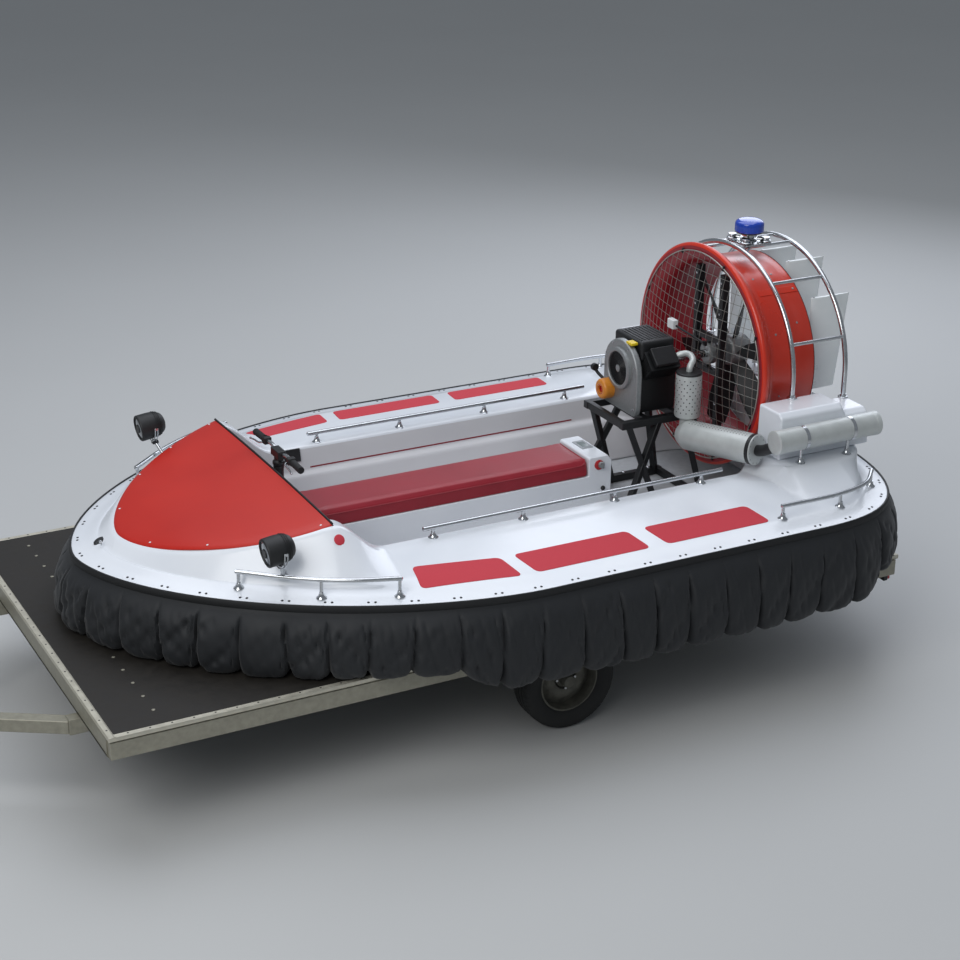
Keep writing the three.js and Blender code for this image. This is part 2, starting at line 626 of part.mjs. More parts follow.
// Bed of the duct: fills the deck's opening behind the duct's lip and under its barrel.
function ductBed() {
  const well = loft([
    ring(OPENING_TIP_X, OPENING_END_X - GAP, (x) => Math.max(0, openingHalf(x + GAP) - GAP), coamingHeight),
    ring(FOOT_TIP_X, FOOT_END_X - GAP, (x) => Math.max(0, footHalf(x + GAP) - GAP), flat(HULL_BOTTOM_Z)),
  ], false);
  const block = box(DUCT_FRONT_X + 120, 2600, -600, 600, 890, 1200);
  const facets = 40;
  const clear = (DUCT_RADIUS + GAP) / Math.cos(Math.PI / facets);
  const barrel = new THREE.CylinderGeometry(clear, clear, 900, facets);
  barrel.rotateZ(Math.PI / 2).translate(DUCT_FRONT_X + 300, 0, DUCT_Z);
  return geometryOf(solid(well).intersect(solid(block)).subtract(solid(barrel)));
}

// Two hoops of tube over the duct, tied together, with the plate for the beacon.
function hoops() {
  const arc = (x) => {
    const points = [];
    const lowZ = (x === HOOP_XS[0] ? POD_TOP_Z : POD_REAR_Z) + GAP;
    points.push(v3(x, -HOOP_RADIUS - HOOP_TUBE, lowZ));
    for (let k = 0; k <= 16; k++) {
      const a = Math.PI - (k / 16) * Math.PI;
      points.push(v3(x, Math.cos(a) * (HOOP_RADIUS + HOOP_TUBE),
          DUCT_Z + Math.sin(a) * (HOOP_RADIUS - HOOP_TUBE)));
    }
    points.push(v3(x, HOOP_RADIUS + HOOP_TUBE, lowZ));
    return bentTube(points, HOOP_TUBE, 22, 8);
  };
  const on = (x, degrees) => {
    const a = THREE.MathUtils.degToRad(degrees);
    return v3(x, Math.sin(a) * (HOOP_RADIUS + HOOP_TUBE), DUCT_Z + Math.cos(a) * (HOOP_RADIUS - HOOP_TUBE));
  };
  const parts = HOOP_XS.map(arc);
  [-75, -40, 40, 75].forEach((d) => parts.push(rod(on(HOOP_XS[0], d), on(HOOP_XS[1], d), 11, 6)));
  [-7, 7].forEach((d) => parts.push(rod(on(HOOP_XS[0], d), on(HOOP_XS[1], d), 9, 6)));
  parts.push(box(2290, 2450, -95, 95, HOOP_Z + HOOP_RADIUS + 30, HOOP_Z + HOOP_RADIUS + 38));
  return join(...parts);
}

const BEACON_X = 2370;
const BEACON_Z = HOOP_Z + HOOP_RADIUS + 38.5;
function beacon() {
  const made = new THREE.LatheGeometry([[0, 34], [62, 34], [76, 40], [78, 88], [66, 102], [0, 108]]
    .map(([r, z]) => new THREE.Vector2(r, z)), 24);
  return geometryOf(solid(made.rotateX(Math.PI / 2).translate(BEACON_X, 0, BEACON_Z + 7 + GAP)));
}
function horns() {
  const parts = [rod(v3(BEACON_X, 0, BEACON_Z), v3(BEACON_X, 0, BEACON_Z + 41), 44, 12)];
  [[-62, 62, 24], [-62, -62, 24], [62, 66, 20], [62, -66, 20]].forEach(([dx, dy, z]) => {
    parts.push(rod(v3(BEACON_X, 0, BEACON_Z + z - 8), v3(BEACON_X + dx, dy, BEACON_Z + z - 8), 9, 4));
    parts.push(rod(v3(BEACON_X + dx, dy, BEACON_Z), v3(BEACON_X + dx, dy, BEACON_Z + z + 6), 30, 10, 24));
  });
  return join(...parts);
}

// Engine: black twin in a vee, the silver blower housing ahead of it and the filter.
function engineBlock() {
  const x0 = ENGINE_FRONT_X + 60 + GAP;
  const parts = [
    box(x0, ENGINE_REAR_X, -110, 110, TABLE_Z + GAP, DUCT_Z + 70),
    box(x0 + 10, ENGINE_REAR_X - 20, -120, 150, DUCT_Z + 60, DUCT_Z + 165),
  ];
  [-1, 1].forEach((s) => {
    const barrel = box(-95, 95, -65, 65, 0, 200).rotateX(s * -0.78);
    parts.push(barrel.translate((x0 + ENGINE_REAR_X) / 2, s * 40, DUCT_Z - 40));
  });
  parts.push(rod(v3(ENGINE_REAR_X - 5, 0, DUCT_Z), v3(ENGINE_REAR_X + 16, 0, DUCT_Z), 60, 18));
  return join(...parts);
}
function blowerHousing() {
  const x0 = ENGINE_FRONT_X;
  const x1 = ENGINE_FRONT_X + 60;
  const shell = join(
    turned([[x0 + 18, 0], [x0 + 18, 140], [x0 + 30, 162], [x1, 165], [x1, 0]], 0, DUCT_Z - 10, 20),
    box(x0 + 24, x1, -165, 165, TABLE_Z + GAP, DUCT_Z - 20),
    turned([[x0, 0], [x0, 112], [x0 + 30, 112], [x0 + 30, 0]], 0, DUCT_Z, 20),
  );
  return cut(shell, turned([[x0 - 5, 0], [x0 - 5, 88], [x0 + 12, 88], [x0 + 12, 0]], 0, DUCT_Z, 20));
}
function oilFilter() {
  const x = ENGINE_FRONT_X - 40;
  return turned([[x, 20], [x, 48], [x + 12, 55], [x + 58 - GAP, 55], [x + 58 - GAP, 0], [x + 20, 0],
      [x + 20, 20], [x, 20]]
    , 95, 1280, 14);
}

// Exhaust: upright can beside the engine, cross silencer and the long tail silencer.
function exhaustCan() {
  const can = new THREE.CylinderGeometry(68, 68, 247, 16).rotateX(Math.PI / 2).translate(1850, -276,
      1326.5);
  return join(can, bentTube([v3(1850, -276, 1440), v3(1880, -268, 1490), v3(1892, -215, 1515),
    v3(1886, -185, 1515), v3(ENGINE_REAR_X - 24.4, -185, 1515)], 17, 8));
}
function silencerCross() {
  return join(
    rod(v3(1822, -330, 1122), v3(1985, -725, 1147), 80, 16),
    rod(v3(1806, -288, 1121), v3(1824, -336, 1122), 48, 16, 80),
    rod(v3(1850, -276, 1120), v3(1850, -276, 1202.6), 40, 10),
  );
}
const TAIL_Y = -870;
function silencerTail() {
  return join(
    rod(v3(1978, TAIL_Y, 1236), v3(2615, TAIL_Y, 1240), 62, 20),
    rod(v3(2150, TAIL_Y, seatZ(2150, TAIL_Y)), v3(2150, TAIL_Y, 1200), 10, 6),
    rod(v3(2440, TAIL_Y, seatZ(2440, TAIL_Y)), v3(2440, TAIL_Y, 1200), 10, 6),
    rod(v3(1990.2, -737.6, 1147.5), v3(2030, -850, 1215), 30, 14),
  );
}

// Black frame that carries the engine over the cockpit floor.
function engineFrame() {
  const parts = [];
  const floor = HULL_BOTTOM_Z + GAP + 20;
  const top = TABLE_Z - 20;
  const size = 40;
  [-240, 240].forEach((y) => {
    parts.push(bar(v3(1480, y, floor), v3(2040, y, floor), size));
    parts.push(bar(v3(1505, y * 0.75, top), v3(1930, y * 0.75, top), size));
    parts.push(bar(v3(1510, y, floor), v3(1740, y * 0.75, top), 34));
    parts.push(bar(v3(1720, y, floor), v3(1550, y * 0.75, top), 34));
    parts.push(bar(v3(2000, y, floor), v3(1890, y * 0.75, top), 34));
  });
  [1500, 2020].forEach((x) => parts.push(bar(v3(x, -236, floor), v3(x, 236, floor), size - 4)));
  [1525, 1670, 1860].forEach((x) => parts.push(box(x - 16, x + 16, -176, 176, top - 20, top + 20)));
  return join(...parts);
}

// Small fittings of the craft.
function bowEye() {
  return join(box(-1262, -1218, -34, 34, 967, 974), box(-1250, -1230, -30, -22, 970, 995),
    box(-1250, -1230, 22, 30, 970, 995), rod(v3(-1240, -30, 992), v3(-1240, 30, 992), 7));
}

// Trailer: edge trim, board, chassis with its drawbar, axle, coupling, jockey wheel, lamp bar, wheels.
function deckTrim() {
  const outer = box(DECK_FRONT_X, DECK_REAR_X, -DECK_HALF_WIDTH, DECK_HALF_WIDTH, BEAM_TOP_Z + GAP,
      DECK_TOP_Z - 0.5);
  const w = DECK_HALF_WIDTH - TRIM_WIDTH;
  return cut(outer, box(DECK_FRONT_X + TRIM_WIDTH, DECK_REAR_X - TRIM_WIDTH, -w, w, 500, 700));
}
function deckBoard() {
  const w = DECK_HALF_WIDTH - TRIM_WIDTH - GAP;
  return box(DECK_FRONT_X + TRIM_WIDTH + GAP, DECK_REAR_X - TRIM_WIDTH - GAP, -w, w, CROSS_TOP_Z + GAP,
      DECK_TOP_Z);
}
function deckFrame() {
  const w = DECK_HALF_WIDTH - 7;
  const x0 = DECK_FRONT_X + 7;
  const x1 = DECK_REAR_X - 7;
  const parts = [
    box(x0, x1, -w, -w + 50, BEAM_BOTTOM_Z, BEAM_TOP_Z), box(x0, x1, w - 50, w, BEAM_BOTTOM_Z, BEAM_TOP_Z),
    box(x0, x0 + 50, -w, w, BEAM_BOTTOM_Z, BEAM_TOP_Z), box(x1 - 50, x1, -w, w, BEAM_BOTTOM_Z, BEAM_TOP_Z),
  ];
  CROSS_XS.forEach((x) => parts.push(box(x - 25, x + 25, -w + 24, w - 24, BEAM_TOP_Z - 30, CROSS_TOP_Z)));
  return join(...parts);
}
// Drawbar: two beams under the deck frame that turn in ahead of it and meet at the coupling.
const DRAWBAR_TOP_Z = BEAM_BOTTOM_Z - GAP;
function drawbar() {
  const parts = [];
  const z = DRAWBAR_TOP_Z - 40;
  [-1, 1].forEach((s) => {
    parts.push(box(-1640, 1250, s * DRAWBAR_Y - 30, s * DRAWBAR_Y + 30, z - 40, z + 40));
    parts.push(bar(v3(-1625, s * DRAWBAR_Y, z), v3(-2600, s * 66, z), 66));
  });
  parts.push(box(-2640, -2560, -100, 100, z - 36, z + 36));
  parts.push(box(JOCKEY_X + 30, JOCKEY_X + 80, -215, 215, z - 25, z + 25));
  return join(...parts);
}
function axle() {
  const parts = [rod(v3(AXLE_X, -WHEEL_Y + 92, TYRE_RADIUS), v3(AXLE_X, WHEEL_Y - 92, TYRE_RADIUS), 34,
      12)];
  [-1, 1].forEach((s) => {
    parts.push(rod(v3(AXLE_X, s * (WHEEL_Y - 96), TYRE_RADIUS), v3(AXLE_X, s * (WHEEL_Y + 24),
        TYRE_RADIUS), 24, 14));
    parts.push(box(AXLE_X - 70, AXLE_X + 70, s * DRAWBAR_Y - 30, s * DRAWBAR_Y + 30,
      TYRE_RADIUS - 20, DRAWBAR_TOP_Z - 80 - GAP));
  });
  return join(...parts);
}
const COUPLING_TIP_X = -2839;
function coupling() {
  return join(
    box(-2780, -2640 - GAP, -30, 30, COUPLING_Z - 18, COUPLING_Z + 30),
    turned([[0, 0], [0, 36], [60, 42], [72, 34], [72, 0]], 0, 0, 18).rotateY(Math.PI / 2)
      .translate(COUPLING_TIP_X + 42, 0, COUPLING_Z + 34),
    bar(v3(-2760, 0, COUPLING_Z + 20), v3(-2670, 0, COUPLING_Z + 74), 20),
  );
}
function jockeyLeg() {
  return join(
    rod(v3(JOCKEY_X, -34, 300), v3(JOCKEY_X, -34, 820), 26, 14),
    rod(v3(JOCKEY_X, -34, 800), v3(JOCKEY_X, -34, 836), 32, 14),
    bar(v3(JOCKEY_X, -34, 818), v3(JOCKEY_X, -150, 818), 16),
    rod(v3(JOCKEY_X, -145, 818), v3(JOCKEY_X, -145, 880), 9),
    box(JOCKEY_X - 34, JOCKEY_X + 30 - GAP, -70, 2, DRAWBAR_TOP_Z - 60, DRAWBAR_TOP_Z - 20),
  );
}
function jockeyFork() {
  const y = -34;
  return join(
    rod(v3(JOCKEY_X, y, 216), v3(JOCKEY_X, y, 299.5), 20, 14),
    box(JOCKEY_X - 30, JOCKEY_X + 30, y - 42, y + 42, 212, 222),
    box(JOCKEY_X - 22, JOCKEY_X + 22, y - 40, y - 32 - GAP, 84, 218),
    box(JOCKEY_X - 22, JOCKEY_X + 22, y + 32 + GAP, y + 40, 84, 218),
  );
}
// A wheel about a line along Y through (x, z); the profile is [y, radius] pairs.
function wheelShape(profile, x, y, z, segments) {
  const made = new THREE.LatheGeometry(profile.map(([w, r]) => new THREE.Vector2(r, w)), segments);
  return geometryOf(solid(made.translate(x, y, z)));
}
function jockeyWheel() {
  return wheelShape([[-32, 0], [-32, 50], [-28, 94], [-16, JOCKEY_RADIUS], [16, JOCKEY_RADIUS], [28,
      94], [32, 50], [32, 0]],
    JOCKEY_X, -34, JOCKEY_RADIUS, 24);
}
function tyre(sign) {
  const w = TYRE_WIDTH / 2;
  return wheelShape([
    [-w * 0.75, RIM_RADIUS - 6], [-w, RIM_RADIUS + 30], [-w, TYRE_RADIUS - 30],
    [-w * 0.7, TYRE_RADIUS], [w * 0.7, TYRE_RADIUS], [w, TYRE_RADIUS - 30],
    [w, RIM_RADIUS + 30], [w * 0.75, RIM_RADIUS - 6], [-w * 0.75, RIM_RADIUS - 6],
  ], AXLE_X, sign * WHEEL_Y, TYRE_RADIUS, 28);
}
function wheelRim(sign) {
  const w = TYRE_WIDTH / 2;
  const face = [
    [-w * 0.72, RIM_RADIUS - 16], [-w * 0.72, RIM_RADIUS - 7], [w * 0.72, RIM_RADIUS - 7],
    [w * 0.72, RIM_RADIUS - 16], [w * 0.3, 138], [w * 0.42, 70], [w * 0.4, HUB_BORE], [w * 0.12, HUB_BORE],
    [-w * 0.1, 138], [-w * 0.72, RIM_RADIUS - 16],
  ].map(([y, r]) => [y * sign, r]);
  const plate = wheelShape(face, AXLE_X, sign * WHEEL_Y, TYRE_RADIUS, 24);
  const cap = [[w * 0.3 * sign, 0], [w * 0.3 * sign, 33], [w * 0.8 * sign, 30], [w * 0.8 * sign, 0]];
  return join(plate, wheelShape(cap, AXLE_X, sign * WHEEL_Y, TYRE_RADIUS, 12));
}
function lampBar() {
  const x = DECK_REAR_X;
  const parts = [box(x - 5, x + 14, -1020, 1020, 430, 478)];
  [-1, 1].forEach((s) => {
    parts.push(box(x + 10, x + 58, s * 900 - 110, s * 900 + 110, 392, 490));
    parts.push(box(x - 45, x - 20, s * 600 - 20, s * 600 + 20, 440, BEAM_BOTTOM_Z - GAP));
    parts.push(box(x - 45, x + 10, s * 600 - 20, s * 600 + 20, 440, 462));
  });
  parts.push(box(x + 12, x + 18, -260, 260, 372, 484));
  return join(...parts);
}

// Everything in place
place("hull_body", hull, FINISH.gelcoat);
place("hull_bottom", hullBottom(), FINISH.gelcoat);
place("rim_strip", rimStrip(), FINISH.rubber);
place("skirt", skirt(), FINISH.fabric);
place("bow_cover", bowCover(), FINISH.red);
place("cover_edging", coverEdging(), FINISH.rubber);
place("bow_eye", bowEye(), FINISH.stainless);
rails();
[["port", -1], ["starboard", 1]].forEach(([side, sign]) => {
  place(`spot_lamp_${side}`, spotLamp(sign), FINISH.plastic);
  place(`pod_${side}`, pod(sign), FINISH.gelcoat);
  place(`tyre_${side}`, tyre(sign), FINISH.rubber);
  place(`wheel_rim_${side}`, wheelRim(sign), FINISH.zinc);
});
place("seat_box", seatBox(), FINISH.gelcoat);
place("seat_cushion", seatCushion(), FINISH.vinyl);
place("steering_column", steeringColumn(), FINISH.blackSteel);
place("handlebar", handlebar(), FINISH.blackSteel);
place("duct", duct(), FINISH.red);
place("duct_bed", ductBed(), FINISH.gelcoat);
place("duct_guard", guard(), FINISH.stainless);
place("fan_mount", fanMount(), FINISH.blackSteel);
place("fan", fan(), FINISH.plastic);
RUDDER_YS.forEach((y, k) => place(`rudder_${k + 1}`, rudder(y), FINISH.rudder));
place("rudder_shelf", box(DUCT_REAR_X + GAP, RUDDER_X + 26, -560, 560, RUDDER_BOTTOM_Z - 24,
    RUDDER_BOTTOM_Z - 12.5),
  FINISH.gelcoat);
place("guard_hoops", hoops(), FINISH.stainless);
place("beacon", beacon(), FINISH.blue);
place("horns", horns(), FINISH.stainless);
place("engine_block", engineBlock(), FINISH.blackSteel);
place("blower_housing", blowerHousing(), FINISH.alloy);
place("oil_filter", oilFilter(), FINISH.orange);
place("exhaust_can", exhaustCan(), FINISH.silver);
place("silencer_cross", silencerCross(), FINISH.silver);
place("silencer_tail", silencerTail(), FINISH.silver);
place("engine_frame", engineFrame(), FINISH.blackSteel);
place("deck_trim", deckTrim(), FINISH.zinc);
place("deck_board", deckBoard(), FINISH.plywood);
place("deck_frame", deckFrame(), FINISH.zinc);
place("drawbar", drawbar(), FINISH.zinc);
place("axle", axle(), FINISH.zinc);
place("coupling", coupling(), FINISH.zinc);
place("jockey_leg", jockeyLeg(), FINISH.zinc);
place("jockey_fork", jockeyFork(), FINISH.zinc);
place("jockey_wheel", jockeyWheel(), FINISH.rubber);
place("lamp_bar", lampBar(), FINISH.plastic);

export default root;
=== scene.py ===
# %% [markdown]
# # A rescue hovercraft on its trailer
# The real craft is a white moulded hull with a red bow cover, a black skirt of loose fingers, a ducted fan
# with its engine, and a flat trailer under it. The construction model gives every piece its true place.
# Each cell below dresses one piece: what it is, how it could be made, and why it is made this way.

# %% Start from the construction model
import json
import math

import bmesh
import bpy
import numpy as np
from mathutils import Matrix, Vector
from mathutils.bvhtree import BVHTree

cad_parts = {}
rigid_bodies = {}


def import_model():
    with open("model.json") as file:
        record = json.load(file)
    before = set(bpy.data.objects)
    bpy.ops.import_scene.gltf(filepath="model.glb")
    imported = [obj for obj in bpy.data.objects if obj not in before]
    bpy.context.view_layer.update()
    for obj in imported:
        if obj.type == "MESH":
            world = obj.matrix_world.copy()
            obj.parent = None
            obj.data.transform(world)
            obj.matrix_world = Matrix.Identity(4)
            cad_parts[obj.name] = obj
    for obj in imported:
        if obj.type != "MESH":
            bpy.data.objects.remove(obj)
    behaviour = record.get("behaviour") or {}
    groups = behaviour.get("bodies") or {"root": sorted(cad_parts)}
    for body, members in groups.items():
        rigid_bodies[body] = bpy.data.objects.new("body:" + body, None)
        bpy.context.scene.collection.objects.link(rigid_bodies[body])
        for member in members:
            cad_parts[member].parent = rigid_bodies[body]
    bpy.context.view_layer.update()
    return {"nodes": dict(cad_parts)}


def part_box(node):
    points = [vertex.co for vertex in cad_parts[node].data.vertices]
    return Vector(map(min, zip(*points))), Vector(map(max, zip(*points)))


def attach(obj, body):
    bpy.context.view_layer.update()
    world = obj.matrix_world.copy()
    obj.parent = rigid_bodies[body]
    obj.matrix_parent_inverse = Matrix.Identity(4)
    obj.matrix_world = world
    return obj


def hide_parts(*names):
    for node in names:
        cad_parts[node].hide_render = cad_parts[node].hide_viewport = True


for leftover in list(bpy.data.objects):
    bpy.data.objects.remove(leftover)
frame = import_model()

# %% [markdown]
# Pieces here are surfaces worked out with numpy. A few helpers cover them all: a grid of points becomes
# faces, a profile is turned about an axis, a circle is carried along a path, and corners are rounded off.

# %% Shapes from arrays
def grid(points, wrap_u=False, wrap_v=False):
    """Vertices and four-sided faces of a surface given as points[u, v]: each face joins four neighbours."""
    nu, nv = points.shape[:2]
    i = np.arange(nu if wrap_u else nu - 1)[:, None]
    j = np.arange(nv if wrap_v else nv - 1)[None, :]
    far_i, far_j = (i + 1) % nu, (j + 1) % nv
    faces = np.stack([i * nv + j, far_i * nv + j, far_i * nv + far_j, i * nv + far_j], -1)
    return points.reshape(-1, 3), faces.reshape(-1, 4).tolist()


def loft(rows):
    """A closed solid through loops of equal length: their skin, and a flat face over the first and last."""
    verts, faces = grid(np.asarray(rows), wrap_v=True)
    n = len(rows[0])
    return verts, faces + [list(range(n))[::-1], list(range(len(verts) - n, len(verts)))]


def joined(*shapes):
    """Several shapes as one list of vertices and faces."""
    verts, faces, start = [], [], 0
    for v, f in shapes:
        verts.append(v)
        faces += [[k + start for k in face] for face in f]
        start += len(v)
    return np.vstack(verts), faces


def unit(vectors):
    """Each vector divided by its own length."""
    return vectors / np.linalg.norm(vectors, axis=-1, keepdims=True)


def lerp(a, b, t):
    """The value a share t of the way from a to b."""
    return a + (b - a) * t


def smooth(x, a, b):
    """0 before a, 1 after b, and between them three t squared less two t cubed."""
    t = np.clip((x - a) / (b - a), 0, 1)
    return t * t * (3 - 2 * t)


def spline(points, count):
    """A smooth line through points, by Catmull and Rom's cubic: each stretch leans on its two neighbours."""
    p = np.asarray(points, float)
    p = np.vstack([2 * p[0] - p[1], p, 2 * p[-1] - p[-2]])
    s = np.linspace(0, len(p) - 3, count)
    k = np.minimum(s.astype(int), len(p) - 4)
    t = (s - k)[:, None]
    a, b, c, d = p[k], p[k + 1], p[k + 2], p[k + 3]
    return 0.5 * (2 * b + (c - a) * t + (2 * a - 5 * b + 4 * c - d) * t**2 + (3 * b - a - 3 * c + d) * t**3)


def rounded(points, radius, steps):
    """A closed polyline with each corner cut back by radius and bridged by a quadratic curve.

    points is [..., k, d]; the cut is never more than 0.45 of the shorter side at that corner."""
    radius = np.broadcast_to(np.asarray(radius, float), points.shape[-2:-1])
    to_before, to_after = np.roll(points, 1, axis=-2) - points, np.roll(points, -1, axis=-2) - points
    len_b = np.linalg.norm(to_before, axis=-1, keepdims=True) + 1e-9
    len_a = np.linalg.norm(to_after, axis=-1, keepdims=True) + 1e-9
    cut = np.minimum(radius[..., :, None], 0.45 * np.minimum(len_a, len_b))
    a = (points + to_before / len_b * cut)[..., None, :]
    b = (points + to_after / len_a * cut)[..., None, :]
    t = np.linspace(0, 1, steps + 1)[:, None]
    curve = (1 - t) ** 2 * a + 2 * t * (1 - t) * points[..., None, :] + t**2 * b
    return curve.reshape(*points.shape[:-2], -1, points.shape[-1])


def tube(path, radius, sides=12, hint=(0, 0, 1), ends=True):
    """A round tube: at each path point a circle of the radius lies square to the path's direction."""
    path = np.asarray(path, float)
    along = unit(np.gradient(path, axis=0))
    a = unit(np.cross(along, np.broadcast_to(np.asarray(hint, float), path.shape)))
    b = np.cross(along, a)
    t = np.linspace(0, 2 * np.pi, sides, endpoint=False)[:, None]
    r = np.broadcast_to(radius, len(path))[:, None, None]
    points = path[:, None] + r * (np.cos(t) * a[:, None] + np.sin(t) * b[:, None])
    return loft(points) if ends else grid(points, wrap_v=True)


def turned(profile, centre=(0, 0, 0), axis="x", segments=64):
    """A solid of revolution: rows of (place along the axis, radius) turned once round the axis."""
    profile = np.asarray(profile, float)
    t = np.linspace(0, 2 * np.pi, segments, endpoint=False)[:, None]
    along = profile[:, 0] + 0 * t
    c, s = np.cos(t) * profile[:, 1], np.sin(t) * profile[:, 1]
    order = {"x": (along, c, s), "y": (c, along, s), "z": (c, s, along)}[axis]
    return grid(np.stack(order, -1) + np.asarray(centre, float), wrap_u=True)


def rod(low, high, radius, centre=(0, 0, 0), axis="z", segments=16):
    """A closed round bar of one radius, from low to high along an axis."""
    return turned([(low, 0), (low, radius), (high, radius), (high, 0)], centre, axis, segments)


def prism(outline, low, high, axis="y"):
    """A flat outline of (a, b) pairs carried straight along one axis from low to high."""
    a, b = np.asarray(outline, float).T
    layers = []
    for level in (low, high):
        flat = np.full(len(a), level)
        layers.append(np.stack({"x": (flat, a, b), "y": (a, flat, b), "z": (a, b, flat)}[axis], -1))
    return loft(layers)


def block(low, high):
    """A box between two corners."""
    (x0, y0, z0), (x1, y1, z1) = low, high
    return prism([(x0, y0), (x1, y0), (x1, y1), (x0, y1)], z0, z1, "z")


def beam(a, b, width, height=None):
    """A square or flat bar from a to b."""
    a, b = np.asarray(a, float), np.asarray(b, float)
    along = unit(b - a)
    side = unit(np.cross(along, (0, 0, 1)))
    up = np.cross(side, along)
    w, h = width / 2, (height or width) / 2
    corners = [s * w * side + u * h * up for s, u in ((-1, -1), (1, -1), (1, 1), (-1, 1))]
    return loft([[p + c for c in corners] for p in (a, b)])


def scattered(shape, places, normals, hint=(0.3, 0.9, 0.2)):
    """Copies of a small shape whose +Z is turned to each normal and moved to each place, all at once."""
    verts, faces = shape
    places, z = np.asarray(places, float), unit(np.asarray(normals, float) * np.ones((len(places), 1)))
    x = unit(np.cross(np.broadcast_to(hint, z.shape), z))
    y = np.cross(z, x)
    out = places[:, None] + verts[:, 0, None] * x[:, None] + verts[:, 1, None] * y[:, None]
    out = out + verts[:, 2, None] * z[:, None]
    n = len(verts)
    return out.reshape(-1, 3), [[k + i * n for k in face] for i in range(len(places)) for face in faces]


def standing(profile, places, ways, segments=12, hint=(0.3, 0.9, 0.2)):
    """A turned profile stood up at each place, in the way given there."""
    return scattered(turned(profile, axis="z", segments=segments), places, ways, hint)


def button(radius, height, sides=10):
    """A low round head, such as a rivet's: a disc whose top is drawn in to a dome."""
    return turned([(0, 0), (0, radius), (height * 0.5, radius), (height * 0.9, radius * 0.6), (height, 0)],
                  axis="z", segments=sides)


def bolt_heads(radius, height, places, way, across=0.002, down=0.002):
    """Hexagon heads, turned in six steps, each chamfered by so much across and so much down."""
    profile = [(0, radius), (height - down, radius), (height, radius - across), (height, 0)]
    return standing(profile, places, way, 6)


# %% [markdown]
# One function puts a shape into the scene: it closes seams and poles, turns faces outwards, marks the edges
# that are really sharp, lets the piece ride on its body and hides the plain solid it stands for.

# %% From arrays to pieces
SHARP_EDGE, BEVELLED_EDGE = math.radians(38), math.radians(30)
SIDES = (("port", -1), ("starboard", 1))


def mesh_of(name, shape):
    """A mesh from vertices and faces."""
    verts, faces = shape
    mesh = bpy.data.meshes.new(name)
    mesh.from_pydata(verts.tolist(), [], faces)
    return mesh


def placed(name, data):
    """A new object in the scene that shows the data."""
    made = bpy.data.objects.new(name, data)
    bpy.context.scene.collection.objects.link(made)
    return made


def piece(name, shape, material, body="outfit", replaces=None, bevel=0.0, segments=2, slot=None):
    """Makes the named object, cleans its mesh, finishes it and lets it ride on its body."""
    mesh = mesh_of(name, shape)
    cleaner = bmesh.new()
    cleaner.from_mesh(mesh)
    bmesh.ops.remove_doubles(cleaner, verts=cleaner.verts, dist=1e-6)
    bmesh.ops.recalc_face_normals(cleaner, faces=cleaner.faces)
    cleaner.to_mesh(mesh)
    cleaner.free()
    mesh.polygons.foreach_set("use_smooth", np.ones(len(mesh.polygons), bool))
    mesh.set_sharp_from_angle(angle=SHARP_EDGE)
    made = placed(name, mesh)
    mesh.materials.append(material)
    if bevel:
        edge = made.modifiers.new("worn_edge", "BEVEL")
        edge.width, edge.segments = bevel, segments
        edge.limit_method, edge.angle_limit = "ANGLE", BEVELLED_EDGE
        edge.harden_normals = True
    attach(made, body)
    if replaces:
        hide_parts(replaces)
    return made


def finished(obj):
    """Bakes a piece's modifiers into its mesh, so that what follows can measure it."""
    graph = bpy.context.evaluated_depsgraph_get()
    baked = bpy.data.meshes.new_from_object(obj.evaluated_get(graph))
    obj.modifiers.clear()
    obj.data = baked


def read_array(items, attribute):
    """One three-part attribute of every vertex or face, as rows."""
    flat = np.empty(len(items) * 3)
    items.foreach_get(attribute, flat)
    return flat.reshape(-1, 3)


# %% [markdown]
# A finish starts from what the real thing is made of. Colours are written as the hex values that a painter
# would read off a chart, and one function turns them into the linear light that the renderer works in.

# %% Materials: the helpers
def linear(code):
    """An sRGB hex colour as linear red, green, blue and alpha: the standard curve with its straight foot."""
    s = np.array([int(code[k:k + 2], 16) for k in (1, 3, 5)]) / 255
    return (*np.where(s <= 0.04045, s / 12.92, ((s + 0.055) / 1.055) ** 2.4).tolist(), 1.0)


def add(tree, kind, inputs, **settings):
    """Adds one node, applies its settings, and fills or links its inputs by name or number."""
    made = tree.nodes.new(kind)
    for key, value in settings.items():
        setattr(made, key, value)
    for key, value in inputs.items():
        if isinstance(value, bpy.types.NodeSocket):
            tree.links.new(value, made.inputs[key])
        else:
            made.inputs[key].default_value = value
    return made


